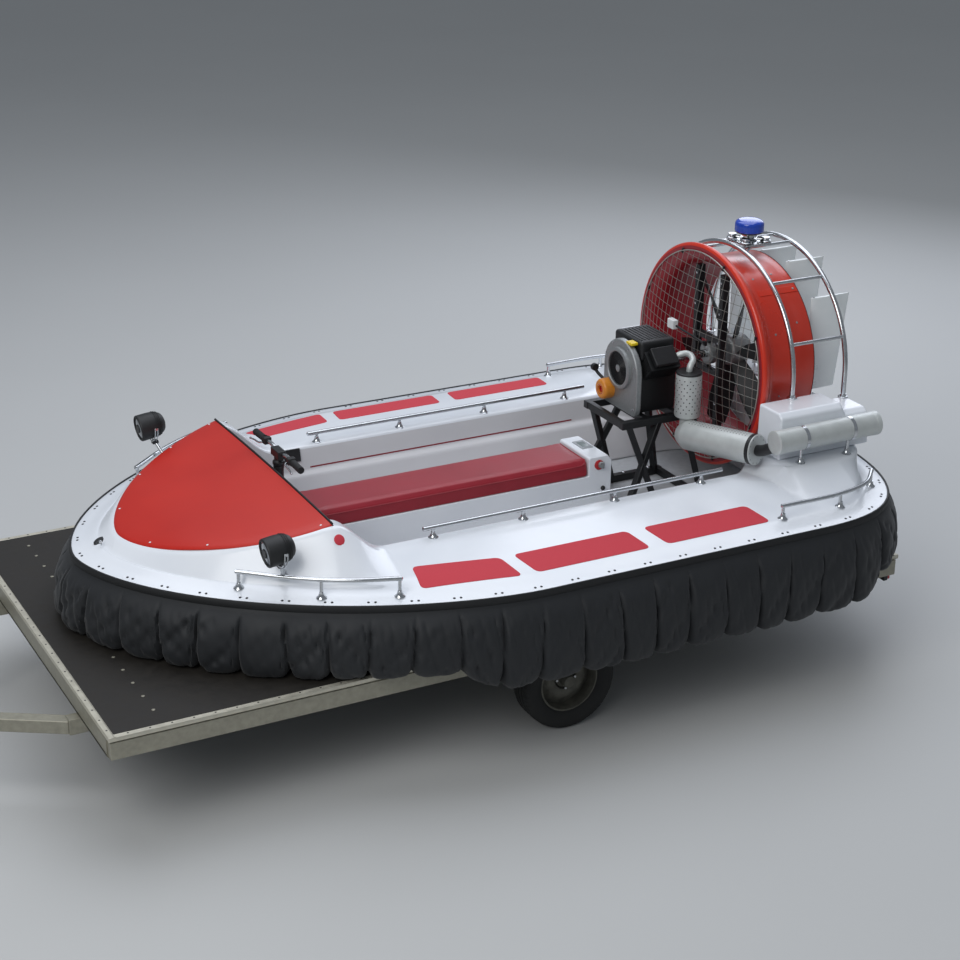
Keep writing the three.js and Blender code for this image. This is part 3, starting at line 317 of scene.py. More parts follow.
def mottled(name, dark, light, size_mm, rough=(0.3, 0.5), bump_mm=0.0, grain_mm=1.0, **sockets):
    """A finish that drifts between two colours and two roughnesses in patches of a real size.

    The patch size is the noise's wavelength, so the scale is one metre over it; a second, finer noise gives
    the bump. Both read Object coordinates, which are metres on the part."""
    made = bpy.data.materials.new(name)
    made.use_nodes = True
    tree = made.node_tree
    shader = tree.nodes["Principled BSDF"]
    for key, value in sockets.items():
        shader.inputs[key.replace("_", " ")].default_value = value
    place = add(tree, "ShaderNodeTexCoord", {}).outputs["Object"]
    patches = add(tree, "ShaderNodeTexNoise", {"Vector": place, "Scale": 1000 / size_mm, "Detail": 4.0})
    colour = add(tree, "ShaderNodeMix", {0: patches.outputs["Fac"], 6: linear(dark), 7: linear(light)},
                 data_type="RGBA")
    gloss = add(tree, "ShaderNodeMapRange", {0: patches.outputs["Fac"], 3: rough[0], 4: rough[1]})
    tree.links.new(colour.outputs[2], shader.inputs["Base Color"])
    tree.links.new(gloss.outputs[0], shader.inputs["Roughness"])
    if bump_mm:
        grain = add(tree, "ShaderNodeTexNoise", {"Vector": place, "Scale": 1000 / grain_mm, "Detail": 3.0})
        relief = add(tree, "ShaderNodeBump",
                     {"Height": grain.outputs["Fac"], "Distance": bump_mm / 1000, "Strength": 0.6})
        tree.links.new(relief.outputs["Normal"], shader.inputs["Normal"])
    return made


# %% [markdown]
# Gelcoat is the pigmented polyester skin of a moulding. Each finish below has two colours, the size of its
# patches in millimetres, its range of roughness, and the depth and size of its grain in millimetres.

# %% Moulded, painted and taped finishes
# Hull: a hard gloss over a very slight ripple, greyed in wide patches where water has dried.
WHITE_GEL = mottled("white polyester gelcoat", "#DADFE6", "#F1F4F8", 420, (0.16, 0.32), 0.25, 60,
                    Coat_Weight=0.35, Coat_Roughness=0.12)
# Bow cover: the same skin rubbed duller, so its red is flat and even.
RED_GEL = mottled("red polyester gelcoat", "#B2170A", "#C92512", 300, (0.3, 0.46), 0.12, 4)
# Duct: a warmer red that still mirrors the sky along its lip.
DUCT_RED = mottled("orange-red polyester gelcoat", "#C3260E", "#DB381A", 350, (0.22, 0.36), 0.2, 50,
                   Coat_Weight=0.3, Coat_Roughness=0.15)
# Duct's bore: the same gelcoat painted a deeper red as the shade inside the duct, with the print of the
# mould.
DUCT_SHADE_RED = mottled("red polyester gelcoat with painted shade", "#8C1420", "#A31C28", 260, (0.3, 0.45), 0.2, 50)
# Deck pads: crumbs of cork and rubber, drawn as coarse as they need to show, and no shine.
PAD_RED = mottled("red cork-rubber deck pad", "#B92C39", "#CE404C", 3, (0.7, 0.88), 0.5, 2.5)
# Floor: a gritty grey that scatters the light.
FLOOR_MAT = mottled("grey anti-slip floor paint", "#A8ABAE", "#C4C7C9", 30, (0.55, 0.8), 0.6, 5)
# Rudders: satin paint with the plywood's faint unevenness.
RUDDER_PAINT = mottled("white paint over plywood", "#E6ECEC", "#F5F8F8", 120, (0.35, 0.55), 0.2, 12)
# Stripe: a thin, plain dark red line with a low sheen.
STRIPE_RED = mottled("dark red vinyl tape", "#7A1220", "#8C1A28", 40, (0.3, 0.4))

# %% [markdown]
# Bright metals carry the highlights, galvanised and cast ones are greyer and blotched, and rubber and nylon
# stay near black with a broad sheen. Lenses are plastic with a clear coat over a saturated colour.

# %% Metals, rubber and plastics
# Rails, hoops and bar: bright streaks, blurred a little by handling.
STEEL = mottled("polished stainless steel", "#B9BCBF", "#D6D8DA", 25, (0.12, 0.28), Metallic=1.0)
# Guard wires: a soft bright line against the dark duct.
WIRE = mottled("bright zinc wire", "#A9A9A2", "#C8C8C0", 12, (0.3, 0.5), Metallic=0.9)
# Trailer's frame: spangled brownish grey, half dull with road dirt.
ZINC = mottled("weathered galvanised steel", "#807D72", "#ABA898", 28, (0.4, 0.65), 0.2, 14, Metallic=0.5)
# Deck's edge: pale, with dirt in its pores.
ALLOY_TRIM = mottled("dirty aluminium angle", "#ADA99B", "#D8D4C4", 45, (0.35, 0.6), 0.15, 20, Metallic=0.4)
# Blower and hubs: the fine pebbled skin of a sand mould.
CAST = mottled("sand-cast aluminium", "#8B8E8E", "#B0B3B3", 10, (0.4, 0.6), 0.4, 2, Metallic=0.75)
# Silencers: a pale, slightly clouded silver.
SILVER = mottled("silver heat paint", "#B4B8B7", "#D0D4D1", 60, (0.35, 0.5), 0.15, 3, Metallic=0.35)
# Frames and column: an even black with a low gloss.
BLACK_STEEL = mottled("black powder-coated steel", "#0E0F10", "#1B1C1E", 15, (0.35, 0.5), 0.1, 2)
# Lamps, fan and clips: a grainy, greyer black.
BLACK_PLASTIC = mottled("black glass-filled nylon", "#121314", "#1E2022", 8, (0.45, 0.6), 0.15, 1.5)
# Rim and edgings: the dullest of the small black parts.
BLACK_RUBBER = mottled("extruded black rubber", "#0C0D0E", "#191A1C", 20, (0.55, 0.75), 0.15, 3)
# Tyres: brown dust on black.
TYRE_RUBBER = mottled("dusty tyre rubber", "#131415", "#2A2A29", 35, (0.7, 0.9), 0.3, 4)
# Wheels: paint that shows only in patches through the dirt.
DIRTY_RIM = mottled("dirty painted wheel steel", "#34342F", "#807E74", 40, (0.5, 0.8), 0.2, 8, Metallic=0.4)
# Air cleaner: one warm spot in the dark engine.
ORANGE = mottled("orange enamel", "#C8741A", "#E59A38", 20, (0.3, 0.45))
# Filler cap: a small clean yellow.
YELLOW = mottled("yellow moulded cap", "#D8B80C", "#EED022", 12, (0.35, 0.5))
# Beacon: a saturated blue that lets some light into its depth.
LENS_BLUE = mottled("blue polycarbonate", "#0B3BB8", "#1E57DC", 14, (0.1, 0.2), Transmission_Weight=0.25,
                    IOR=1.58, Coat_Weight=0.5)
# Rear lamps and battery switch: a clear red skin.
LENS_RED = mottled("red reflector acrylic", "#8E0B12", "#C21620", 6, (0.1, 0.25), Coat_Weight=0.6)
print("materials:", len(bpy.data.materials))

# %% [markdown]
# The hull is one glass-fibre moulding: rim, side deck, coaming and the slanted wall of the cockpit. Rings
# round the craft are the fair lines a boat builder would draw; skinning them and easing each corner by its
# own radius gives the mould's soft edges, which a box model with a bevel wouldn't.

# %% The hull's fair lines
BOW_X, STERN_X, HULL_HALF = -1.37, 2.77, 1.3
BOW_START, STERN_START = 0.45, 1.92
COVER_REAR_X, COVER_REAR_Z, COVER_SLOPE = -0.376, 1.207, 0.2416
NOSE_X, NOSE_LENGTH, COAMING_HALF, OPENING_HALF, FOOT_HALF = -0.35, 0.82, 0.76, 0.66, 0.5
BLUNT, BLUNTER, SQUARE = 1.7, 2.5, 3
RIM_Z, HULL_BOTTOM_Z = 0.938, 0.662
AROUND = 720


def superhalf(x, start, length, half, power):
    """Half width of a superellipse end: half times the power-th root of one less t to the power."""
    t = np.clip((start - x) / length, 0, 1)
    return half * (1 - t**power) ** (1 / power)


def rear_share(x, start, length):
    """Share of the full width left at a squarish rear end: the fourth root of one less t to the fourth."""
    t = np.clip((x - start) / length, 0, 1)
    return (1 - t**4) ** 0.25


def hull_half(x, inset=0.0):
    """Half width of the hull's plan: a blunt superellipse bow, straight sides and a squarer stern."""
    half = HULL_HALF - inset
    bow = superhalf(x, BOW_START, BOW_START - BOW_X - inset, half, BLUNT)
    stern = superhalf(-x, -STERN_START, STERN_X - inset - STERN_START, half, SQUARE)
    return np.minimum(bow, stern)


def coaming_z(x):
    """Height of the coaming: along the cover's slope, down to the side deck, then up to the aft deck."""
    side = lerp(1.2, 1.01, smooth(x, COVER_REAR_X, -0.09)) + 0.09 * smooth(x, 2.01, 2.062)
    return np.where(x < COVER_REAR_X, COVER_REAR_Z + COVER_SLOPE * (x - COVER_REAR_X) - 0.007, side)


def coaming_half(x):
    """Half width of the coaming's outer edge: the cover's outline, the side coaming, the aft deck."""
    side = lerp(COAMING_HALF, lerp(0.72, 0.905, smooth(x, 1.78, 2.15)), smooth(x, NOSE_X, -0.09))
    return np.where(x < NOSE_X, superhalf(x, NOSE_X, NOSE_LENGTH, COAMING_HALF, BLUNT),
                    side * rear_share(x, 2.35, 0.262))


def opening_half(x):
    """Half width of the cockpit opening, which narrows round the duct."""
    side = lerp(OPENING_HALF, 0.56, smooth(x, 1.9, 2.06)) * rear_share(x, 2.3, 0.23)
    return np.where(x < NOSE_X, superhalf(x, NOSE_X, 0.73, OPENING_HALF, BLUNT), side)


def foot_half(x):
    """Half width of the cockpit floor."""
    return np.where(x < 0, superhalf(x, 0, 0.7, FOOT_HALF, BLUNTER), FOOT_HALF * rear_share(x, 2.0, 0.46))


def shoulder_half(x):
    """Half width of the line where the side deck meets the coaming's flare."""
    return np.minimum(1.0 + 0.06 * smooth(x, 1.8, 2.2), hull_half(x, 0.135))


def shoulder_z(x):
    """Height of that line, which falls a little to the bow."""
    return lerp(0.986, 1.0, smooth(x, 1.9, 2.3)) - 0.022 * smooth(-x, -0.2, 1.2)


def ring(tip, stern, half, height):
    """A closed line round the hull: x runs as a cosine from tip to stern and back, for more points there."""
    turn = np.linspace(0, 2 * np.pi, AROUND, endpoint=False)
    x = (tip + stern) / 2 - (stern - tip) / 2 * np.cos(turn)
    y = -np.sign(np.round(np.sin(turn), 9)) * half(x)
    return np.stack([x, y, height(x) if callable(height) else np.full(AROUND, height)], -1)


def inset_ring(inset, z):
    """The hull's outline drawn in by a distance, at a height."""
    return ring(BOW_X + inset, STERN_X - inset, lambda x: hull_half(x, inset), z)


def wall(share, z):
    """A line on the cockpit wall, a share of the way from the opening to the floor."""
    return ring(lerp(-1.08, -0.7, share), lerp(2.53, 2.46, share),
                lambda x: lerp(opening_half(x), foot_half(x), share), z)


# Each row is a line round the hull, and the radius that eases the section's corner on it.
lines = [
    (inset_ring(0, 0.916), 0.003),  # outer edge, under and over the rim
    (inset_ring(0, RIM_Z), 0.008),
    (inset_ring(0.07, 0.95), 0.02),  # side deck
    (inset_ring(0.125, 0.966), 0.02),
    (ring(-1.22, 2.635, shoulder_half, shoulder_z), 0.06),  # coaming, from its foot to the cockpit's edge
    (ring(-1.17, 2.612, coaming_half, coaming_z), 0.022),
    (ring(-1.08, 2.53, opening_half, coaming_z), 0.016),
    (wall(0.12, 0.935), 0.05),  # cockpit wall with its ledge
    (wall(0.2, 0.885), 0.012),
    (wall(0.42, 0.874), 0.02),
    (wall(0.9, 0.69), 0.03),
    (wall(1.0, HULL_BOTTOM_Z + 0.002), 0.02),
    (inset_ring(0.23, HULL_BOTTOM_Z), 0.01),  # underside
    (inset_ring(0.09, 0.888), 0.01)]
section = np.stack([line for line, _ in lines], 1)
skin = rounded(section, np.array([radius for _, radius in lines]), 4)
hull = piece("hull_moulding", grid(skin, wrap_u=True, wrap_v=True), WHITE_GEL, replaces="hull_body",
             slot="gelcoat")
print("hull faces:", len(hull.data.polygons))

# %% [markdown]
# Fittings sit on the moulding itself. A ray dropped on the finished surface gives each one its seat, as the
# hand that fits it would find it, so nothing floats or sinks.

# %% Finding the moulding's surface
hull_tree = BVHTree.FromObject(hull, bpy.context.evaluated_depsgraph_get())


def hit(start, direction, tree=hull_tree):
    """Where a ray meets a surface, and which way the surface faces there, or nothing."""
    place, normal, _, _ = tree.ray_cast(Vector(start), Vector(direction))
    return (np.array(place), np.array(normal)) if place else (None, None)


def settle(xy, top=1.6):
    """Places on the moulding under plan points, and the surface's upward normals."""
    found = [hit((x, y, top), (0, 0, -1)) for x, y in np.asarray(xy)]
    places = np.array([p if p is not None else (x, y, RIM_Z) for (p, _), (x, y) in zip(found, xy)])
    normals = np.array([n if n is not None else (0, 0, 1) for _, n in found])
    return places, normals


def patch(outline, thickness, rings=14, corner=0.03, edge_points=10):
    """A thin pad that follows the moulding: its rounded outline is shrunk to its middle in even steps and
    every point is settled, then the rim is turned down to the surface."""
    line = rounded(np.asarray(outline, float), corner, 5)
    after = np.roll(line, -1, axis=0)
    t = np.linspace(0, 1, edge_points, endpoint=False)[None, :, None]
    line = (line[:, None] * (1 - t) + after[:, None] * t).reshape(-1, 2)
    middle = line.mean(0)
    shares = np.append(np.linspace(0.001, 1, rings) ** 0.8, [1.002])
    flat = middle + shares[:, None, None] * (line - middle)
    spots = settle(flat.reshape(-1, 2))[0].reshape(*flat.shape[:2], 3)
    rise = np.full(len(shares), thickness)
    rise[-2:] = thickness * 0.7, -0.001
    spots[..., 2] += rise[:, None]
    spots[0] = spots[0].mean(0)
    verts, faces = grid(spots, wrap_v=True)
    return verts, faces + [list(range(len(line)))]


# %% [markdown]
# Six red anti-slip pads are glued to the side decks, three a side. Each follows the deck's camber, so the
# pad is settled point by point; its grain is cork and rubber crumbs of a few millimetres.

# %% Anti-slip pads on the side decks
PAD_THICKNESS = 0.003
pads = [[(-0.056, 0.91), (0.36, 0.988), (0.385, 1.168), (-0.09, 1.083)],
        [(0.432, 0.988), (1.047, 0.99), (1.077, 1.168), (0.464, 1.168)],
        [(1.143, 0.99), (1.738, 0.99), (1.768, 1.166), (1.175, 1.168)]]
for number, corners in enumerate(pads, 1):
    for side, sign in SIDES:
        piece(f"deck_pad_{number}_{side}", patch(np.array(corners) * [1, sign], PAD_THICKNESS), PAD_RED)
print("pads:", 2 * len(pads))

# %% [markdown]
# The craft's black rim is an extruded rubber that covers the joint where the deck moulding meets the hull.
# Pairs of blind rivets stand just above it; they are one mesh made from one button.

# %% Rubber rim and its rivets
FINGERS = 58
RIVET_INSET, RIVET_HALF_PITCH = 0.032, 0.0155
rim_profile = np.array([(-0.004, 0.942), (0.004, 0.943), (0.0075, 0.936), (0.0085, 0.925), (0.0075, 0.912),
                        (0.004, 0.905), (-0.004, 0.906)])


def outline_of(count):
    """The hull's plan line cut into equal lengths: points, outward directions and the whole length."""
    dense = inset_ring(0, 0)[:, :2]
    closed = np.vstack([dense, dense[:1]])
    run = np.insert(np.cumsum(np.linalg.norm(np.diff(closed, axis=0), axis=1)), 0, 0)
    even = np.linspace(0, run[-1], count, endpoint=False)
    points = np.stack([np.interp(even, run, closed[:, k]) for k in (0, 1)], -1)
    along = np.roll(points, -1, 0) - np.roll(points, 1, 0)
    outward = unit(np.stack([along[:, 1], -along[:, 0]], -1))
    outward *= np.sign(np.sum(outward * (points - [0.9, 0]), -1, keepdims=True))
    return points, outward, run[-1]


def swept_round(profile, count):
    """A profile of (outward, height) rows carried round the hull's plan line, as points[around, profile]."""
    points, outward, _ = outline_of(count)
    plan = points[:, None] + outward[:, None] * profile[None, :, :1]
    return np.concatenate([plan, np.broadcast_to(profile[None, :, 1:], (*plan.shape[:2], 1))], -1)


piece("rubber_rim", grid(swept_round(rim_profile, 600), wrap_u=True, wrap_v=True), BLACK_RUBBER,
      replaces="rim_strip", slot="rubber")
rim_points, rim_out, PERIMETER = outline_of(FINGERS)
rim_along = np.stack([-rim_out[:, 1], rim_out[:, 0]], -1)
pairs = np.concatenate([rim_points - rim_out * RIVET_INSET + rim_along * step
                        for step in (-RIVET_HALF_PITCH, RIVET_HALF_PITCH)])
seats, seat_normals = settle(pairs)
piece("rim_rivets", scattered(button(0.0062, 0.003), seats, seat_normals), BLACK_RUBBER)
print("perimeter:", round(PERIMETER, 3), "m, rivets:", len(seats))

# %% [markdown]
# The skirt is coated nylon cut as a row of loose fingers. Air fills them under way; at rest they sag, with
# folds below the rim, a seam between each pair and a ragged hem. A formula of lobes and folds over the real
# section is steadier here than a cloth simulation, which would need the air pressure of sixty chambers.

# %% Skirt of loose fingers
SKIRT_TOP, DECK_LOW, SIDE_LOW = 0.912, 0.5975, 0.492
POINTS_PER_FINGER = 26
# The hanging section, row by row: the share of the way down, and how far out the row stands.
SHARES = [0, 0.015, 0.05, 0.11, 0.2, 0.31, 0.43, 0.55, 0.67, 0.78, 0.87, 0.94, 0.985, 1.0]
STANDS_OUT = [-0.004, 0.004, 0.012, 0.032, 0.052, 0.066, 0.075, 0.081, 0.084, 0.083, 0.078, 0.068, 0.052,
              0.03]
# The hem's return: how far inward a row lies, and how far up.
HEM = ((-0.01, 0.001), (-0.05, 0.0), (-0.09, 0.003))
# Families of creases: waves to a finger, slant and depth.
CREASES = ((0.9, 1.6, 0.009), (1.3, -2.3, 0.007), (2.1, 3.1, 0.005), (2.7, -1.2, 0.004))
draw = np.random.default_rng(41)
FINGER_CHANCE = draw.uniform(-1, 1, (6, FINGERS + 1))
FINGER_CHANCE[:, -1] = FINGER_CHANCE[:, 0]


def chance(row, turn):
    """A random value that belongs to each finger and eases over to the next one's across their seam."""
    k = np.floor(turn).astype(int) % FINGERS
    return lerp(FINGER_CHANCE[row, k], FINGER_CHANCE[row, k + 1], smooth(turn - np.floor(turn), 0.8, 1.0))


def skirt_points():
    """Points of the skirt: the hull's line carried down a hanging section.

    A finger is a lobe that rises fast behind its seam and falls slowly to the next, and every seam wanders
    sideways on its way down. Creases are bands where a slanting wave passes through nought; how strong each
    finger's are is drawn at random."""
    count = FINGERS * POINTS_PER_FINGER
    points, outward, _ = outline_of(count)
    side = np.stack([-outward[:, 1], outward[:, 0]], -1)
    lane = np.arange(count) / count * FINGERS
    inner = points - outward * 0.085
    lap = smooth(np.abs(inner[:, 1]), 1.14, 1.2) + smooth(inner[:, 0], 2.64, 2.68)
    low = lerp(DECK_LOW, SIDE_LOW, np.clip(lap, 0, 1))
    stern = smooth(points[:, 0], 1.5, 2.5)
    rows = []
    for share, out in zip(SHARES, STANDS_OUT):
        turn = lane + share * (0.1 * np.sin(lane * 1.7) + 0.08 * np.sin(lane * 0.61 + 2))
        u = turn - np.floor(turn)
        rise, fall = 1 - np.exp(-u * lerp(34, 11, share)), 1 - np.exp((u - 1) * lerp(60, 18, share))
        lobe = rise * (1 - 0.25 * u) * fall - 0.66
        size = smooth(share, 0.02, 0.3) * (0.032 + 0.012 * chance(0, turn) + 0.03 * smooth(share, 0.55, 1))
        creases = 0
        for k, (per_finger, slant, strong) in enumerate(CREASES):
            wave = np.sin(np.pi * (turn * per_finger + share * slant) + 3 * chance(k + 1, turn))
            creases = creases - strong * (1 + chance(k + 2, turn)) * (1 - np.abs(wave)) ** 3
        lean = 0.014 * (u - 0.5) * chance(5, turn) * smooth(share, 0.1, 0.5)
        d = out * lerp(1.0, 0.74, stern) + size * lobe + smooth(share, 0.06, 0.3) * creases + lean
        scallop = np.abs(2 * u - 1) ** 5 * (0.022 + 0.012 * chance(2, turn))
        ragged = smooth(share, 0.72, 1) * (0.004 * chance(3, turn) + scallop)
        z = SKIRT_TOP - share * (SKIRT_TOP - low - 0.004) + ragged
        flat = points + outward * np.minimum(d, 0.1)[:, None] + side * (0.006 * creases)[:, None]
        rows.append(np.column_stack([flat, z]))
    for inward, up in HEM:
        hem = inward + 0.02 * lobe + 0.006 * chance(5, turn)
        under = low + up + 0.003 * np.abs(chance(4, turn)) + 0.7 * scallop
        rows.append(np.column_stack([points + outward * hem[:, None], under]))
    return more_rows(np.stack(rows), 3)


def more_rows(rows, steps):
    """More rows between the given ones, by the same cubic as spline, worked on whole rows at once."""
    n = len(rows)
    flat = spline(rows.reshape(n, -1), (n - 1) * steps + 1)
    return flat.reshape(-1, *rows.shape[1:])


skirt_grid = skirt_points()
over_deck = (np.abs(skirt_grid[..., 1]) < 1.135) & (skirt_grid[..., 0] < 2.645)
skirt_grid[..., 2] = np.maximum(skirt_grid[..., 2], np.where(over_deck, DECK_LOW - 0.001, SIDE_LOW - 0.004))
# Cloth: a soft black whose folds catch a dull sheen.
NYLON = mottled("coated nylon cloth", "#0D1013", "#181B1F", 130, (0.56, 0.78), 0.35, 1.4, Sheen_Weight=0.1)
skirt = piece("finger_skirt", grid(skirt_grid, wrap_v=True), NYLON, replaces="skirt", slot="skirt_fabric")

# %% [markdown]
# A red cover closes the bow in front of the steering. It is a separate moulding with a turned-down lip, held
# by small white screws, with a rubber extrusion along its rear edge against spray.

# %% Bow cover
COVER_LIP, BORDER = -1.155, 0.015
# Rows of the shell: how far out from the middle of its rear edge, and how far down from the crown.
COVER_SHARES = np.r_[np.linspace(0, 0.7, 9), np.linspace(0.75, 0.9, 4), 0.975, 0.995, 1, 1, 1]
COVER_DROPS = np.r_[np.zeros(13), 0.001, 0.004, 0.0075, 0.0085, 0.0125]


def cover_half(x, inset=0.0):
    """Half width of the red cover, just inside the coaming's white border."""
    return superhalf(x, NOSE_X, NOSE_LENGTH - BORDER - inset, COAMING_HALF - BORDER - inset, BLUNT)


def cover_z(x, y):
    """The cover's crown: its sloping plane with a slight camber that falls away from the middle line."""
    camber = 0.012 * (1 - (y / COAMING_HALF) ** 2) * smooth(x, -1.15, -0.9)
    return COVER_REAR_Z + COVER_SLOPE * (x - COVER_REAR_X) + camber


edge_x = COVER_REAR_X - (COVER_REAR_X - COVER_LIP) * np.sin(np.linspace(0, np.pi / 2, 90))
edge = np.concatenate([np.column_stack([edge_x, cover_half(edge_x)]),
                       np.column_stack([edge_x[::-1], -cover_half(edge_x[::-1])])[1:]])
middle = np.array([COVER_REAR_X, 0.0])
flat = middle + COVER_SHARES[:, None, None] * (edge - middle)
shell = np.dstack([flat, cover_z(flat[..., 0], flat[..., 1]) - COVER_DROPS[:, None]])
cover = piece("bow_cover_moulding", grid(shell), RED_GEL, replaces="bow_cover", slot="red_gelcoat")

screw_xy = np.array([(x, s * cover_half(x, 0.022)) for x in (-0.42, -0.66, -0.88, -1.07) for s in (-1, 1)])
screw_places = np.column_stack([screw_xy, cover_z(screw_xy[:, 0], screw_xy[:, 1])])
piece("cover_screws", scattered(button(0.0055, 0.002, 12), screw_places, (-COVER_SLOPE, 0, 1.0)), WHITE_GEL)
rear = np.linspace(-0.745, 0.745, 60)
rear_line = np.column_stack([np.full(60, COVER_REAR_X), rear, cover_z(COVER_REAR_X, rear)])
edging = [tube(rear_line + step, r, 10)
          for step, r in (([0, 0, 0.0005], 0.0055), ([0.004, 0, -0.012], 0.004))]
piece("cover_rubber", joined(*edging), BLACK_RUBBER, replaces="cover_edging", slot="rubber")
print("cover faces:", len(cover.data.polygons))

# %% [markdown]
# Small things on the bow: a black oval cleat and the stainless eye in front of the cover. Flat parts like
# these sit on the ray-cast surface along its normal.

# %% Bow cleat and eye
cleat_at, cleat_normal = settle([(-1.228, 0.06)])
oval = turned([(0, 0), (0, 0.038), (0.006, 0.038), (0.0095, 0.033), (0.011, 0.0)], axis="z", segments=40)
oval = (oval[0] * [1, 0.5, 1], oval[1])
piece("bow_cleat_base", scattered(oval, cleat_at, cleat_normal, (0.62, -0.78, 0)), BLACK_PLASTIC)
eye_low, eye_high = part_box("bow_eye")
eye_mid = (np.array(eye_low) + np.array(eye_high)) / 2
eye_r = min((eye_high[2] - eye_low[2]) / 2, 0.02) - 0.004
bend = np.linspace(-0.15 * np.pi, 1.15 * np.pi, 24)
eye_path = eye_mid + eye_r * np.column_stack([0 * bend, 1.1 * np.cos(bend), np.sin(bend)])
piece("bow_eye_loop", tube(eye_path, 0.004, 12, hint=(1, 0, 0)), STEEL, replaces="bow_eye", slot="stainless")
print("bow eye box:", eye_low, eye_high)

# %% [markdown]
# The handrails are bent stainless tube on short stems with flared feet. The line of each tube is a smooth
# curve through the bender's points; every foot stands on the ray-cast moulding.

# %% Handrails
# For each rail: its height, its points in plan, and where along the craft its stems stand.
RAILS = {
    "front": (1.040, [(-0.83, 0.69), (-0.61, 0.88), (-0.4, 1.01), (-0.19, 1.09)], [-0.82, -0.52, -0.2]),
    "side": (1.062, [(0.112, 0.69), (0.65, 0.69), (1.165, 0.69), (1.796, 0.69)], [0.165, 0.65, 1.165, 1.674]),
    "rear": (1.035, [(1.83, 1.165), (2.16, 1.165), (2.38, 1.11), (2.52, 0.985)], [1.84, 2.19, 2.51])}
RAIL_R, STEM_R, RAIL_POINTS = 0.011, 0.0085, 60
FOOT = turned([(-0.002, 0), (-0.002, 0.024), (0.002, 0.025), (0.005, 0.021), (0.013, 0.0145), (0.026, 0.0112),
               (0.03, 0.0108), (0.03, 0)], axis="z", segments=24)


def rail(height, points, stems, sign):
    """A tube through the points at one height, domed at its ends, with stems that go down to the hull."""
    line = spline([(x, sign * y, height) for x, y in points], RAIL_POINTS)
    reach = unit(line[-1:] - line[-2:-1])[0]
    back = unit(line[:1] - line[1:2])[0]
    path = np.vstack([line[0] + back * 0.004, line, line[-1] + reach * 0.004])
    feet, normals = settle(np.array([(x, np.interp(x, line[:, 0], line[:, 1])) for x in stems]))
    return joined(tube(path, np.r_[0.004, np.full(RAIL_POINTS, RAIL_R), 0.004], 16),
                  scattered(FOOT, feet, normals * [0.4, 0.4, 1]),
                  *[tube([foot, (foot[0], foot[1], height)], STEM_R, 12, hint=(1, 0, 0)) for foot in feet])


for where, (height, points, stems) in RAILS.items():
    for side, sign in SIDES:
        piece(f"handrail_{where}_{side}", rail(height, points, stems, sign), STEEL,
              replaces=f"rail_{where}_{side}", slot="stainless")
print("rails:", 2 * len(RAILS))

# %% [markdown]
# Two work lamps look ahead from the front rails: a bullet-shaped nylon shell, a ribbed glass, and a steel
# yoke on a post. Shell and glass are turned profiles, since that is how such lamps are moulded.

# %% Work lamps
LAMP_X, LAMP_Y, LAMP_Z, YOKE_R = -0.68, 0.858, 1.19, 0.0745
LAMP_WAY = unit(np.array([1.0, 0.0, 0.14]))
# Glass: clear, over a reflector; its dark grey colour is a painted reflection of a dark ground.
LAMP_GLASS_REFLECTION = mottled("lamp glass with a painted dark reflection", "#3A3F44", "#596068", 30, (0.05, 0.12),
                     Coat_Weight=0.5)
bullet = [(-0.074, 0.063), (-0.07, 0.0675), (-0.056, 0.0685), (0.0, 0.067), (0.036, 0.058), (0.06, 0.04),
          (0.073, 0.0)]
shell_profile = np.vstack([[(-0.066, 0.0), (-0.066, 0.056), (-0.074, 0.058)], spline(bullet, 28)])
glass_profile = spline([(-0.0735, 0.0), (-0.072, 0.024), (-0.07, 0.042), (-0.0675, 0.0565)], 16)
centre_profile = [(-0.0765, 0), (-0.0765, 0.021), (-0.0725, 0.0225), (-0.0705, 0.0225), (-0.0705, 0)]
FINS, FIN_THICK = ((0.014, 0.0675), (0.024, 0.065), (0.034, 0.061)), 0.0025


def aimed(profile, segments, y):
    """A turned part of a lamp: its profile runs along the lamp's own line, which dips ahead."""
    return standing(profile, [(LAMP_X, y, LAMP_Z)], [LAMP_WAY], segments, (0, 1, 0))


for side, sign in SIDES:
    y = sign * LAMP_Y
    seat, _ = settle([(LAMP_X + 0.05, sign * 0.775)])
    fins = [aimed([(x0, 0.04), (x0, r), (x0 + FIN_THICK, r), (x0 + FIN_THICK, 0.04)], 64, y)
            for x0, r in FINS]
    swing = np.linspace(0, np.pi, 25)
    under = np.column_stack([np.full(25, LAMP_X), y + np.cos(swing) * YOKE_R,
                             LAMP_Z - 0.01 - np.sin(swing) * 0.074])
    yoke = np.vstack([[LAMP_X, y + YOKE_R, LAMP_Z + 0.006], under, [LAMP_X, y - YOKE_R, LAMP_Z + 0.006]])
    forks = [tube(yoke + [dx, 0, 0], 0.003, 10, hint=(1, 0, 0)) for dx in (-0.007, 0.007)]
    bolts = [rod(-0.007, 0.007, 0.007, (LAMP_X, y + s * 0.073, LAMP_Z), "y", 6) for s in (-1, 1)]
    post_top = np.array([LAMP_X + 0.008, y - sign * 0.015, LAMP_Z - 0.086])
    post = tube([seat[0], post_top], 0.0095, 16, hint=(1, 0, 0))
    piece(f"lamp_shell_{side}", joined(aimed(shell_profile, 96, y), *fins), BLACK_PLASTIC,
          replaces=f"spot_lamp_{side}", slot="black_plastic")
    # The glass's dark grey is a painted reflection.
    piece(f"lamp_glass_{side}", aimed(glass_profile, 72, y), LAMP_GLASS_REFLECTION)
    piece(f"lamp_centre_{side}", aimed(centre_profile, 40, y), BLACK_PLASTIC)
    piece(f"lamp_yoke_{side}", joined(*forks, *bolts, post, scattered(FOOT, seat, [(0, 0, 1)])), STEEL)
    piece(f"lamp_clamp_{side}", block(post_top - [0.016, 0.016, 0.012], post_top + [0.016, 0.016, 0.006]),
          BLACK_STEEL, bevel=0.003)
print("lamp shells stand", LAMP_Z, "m up")

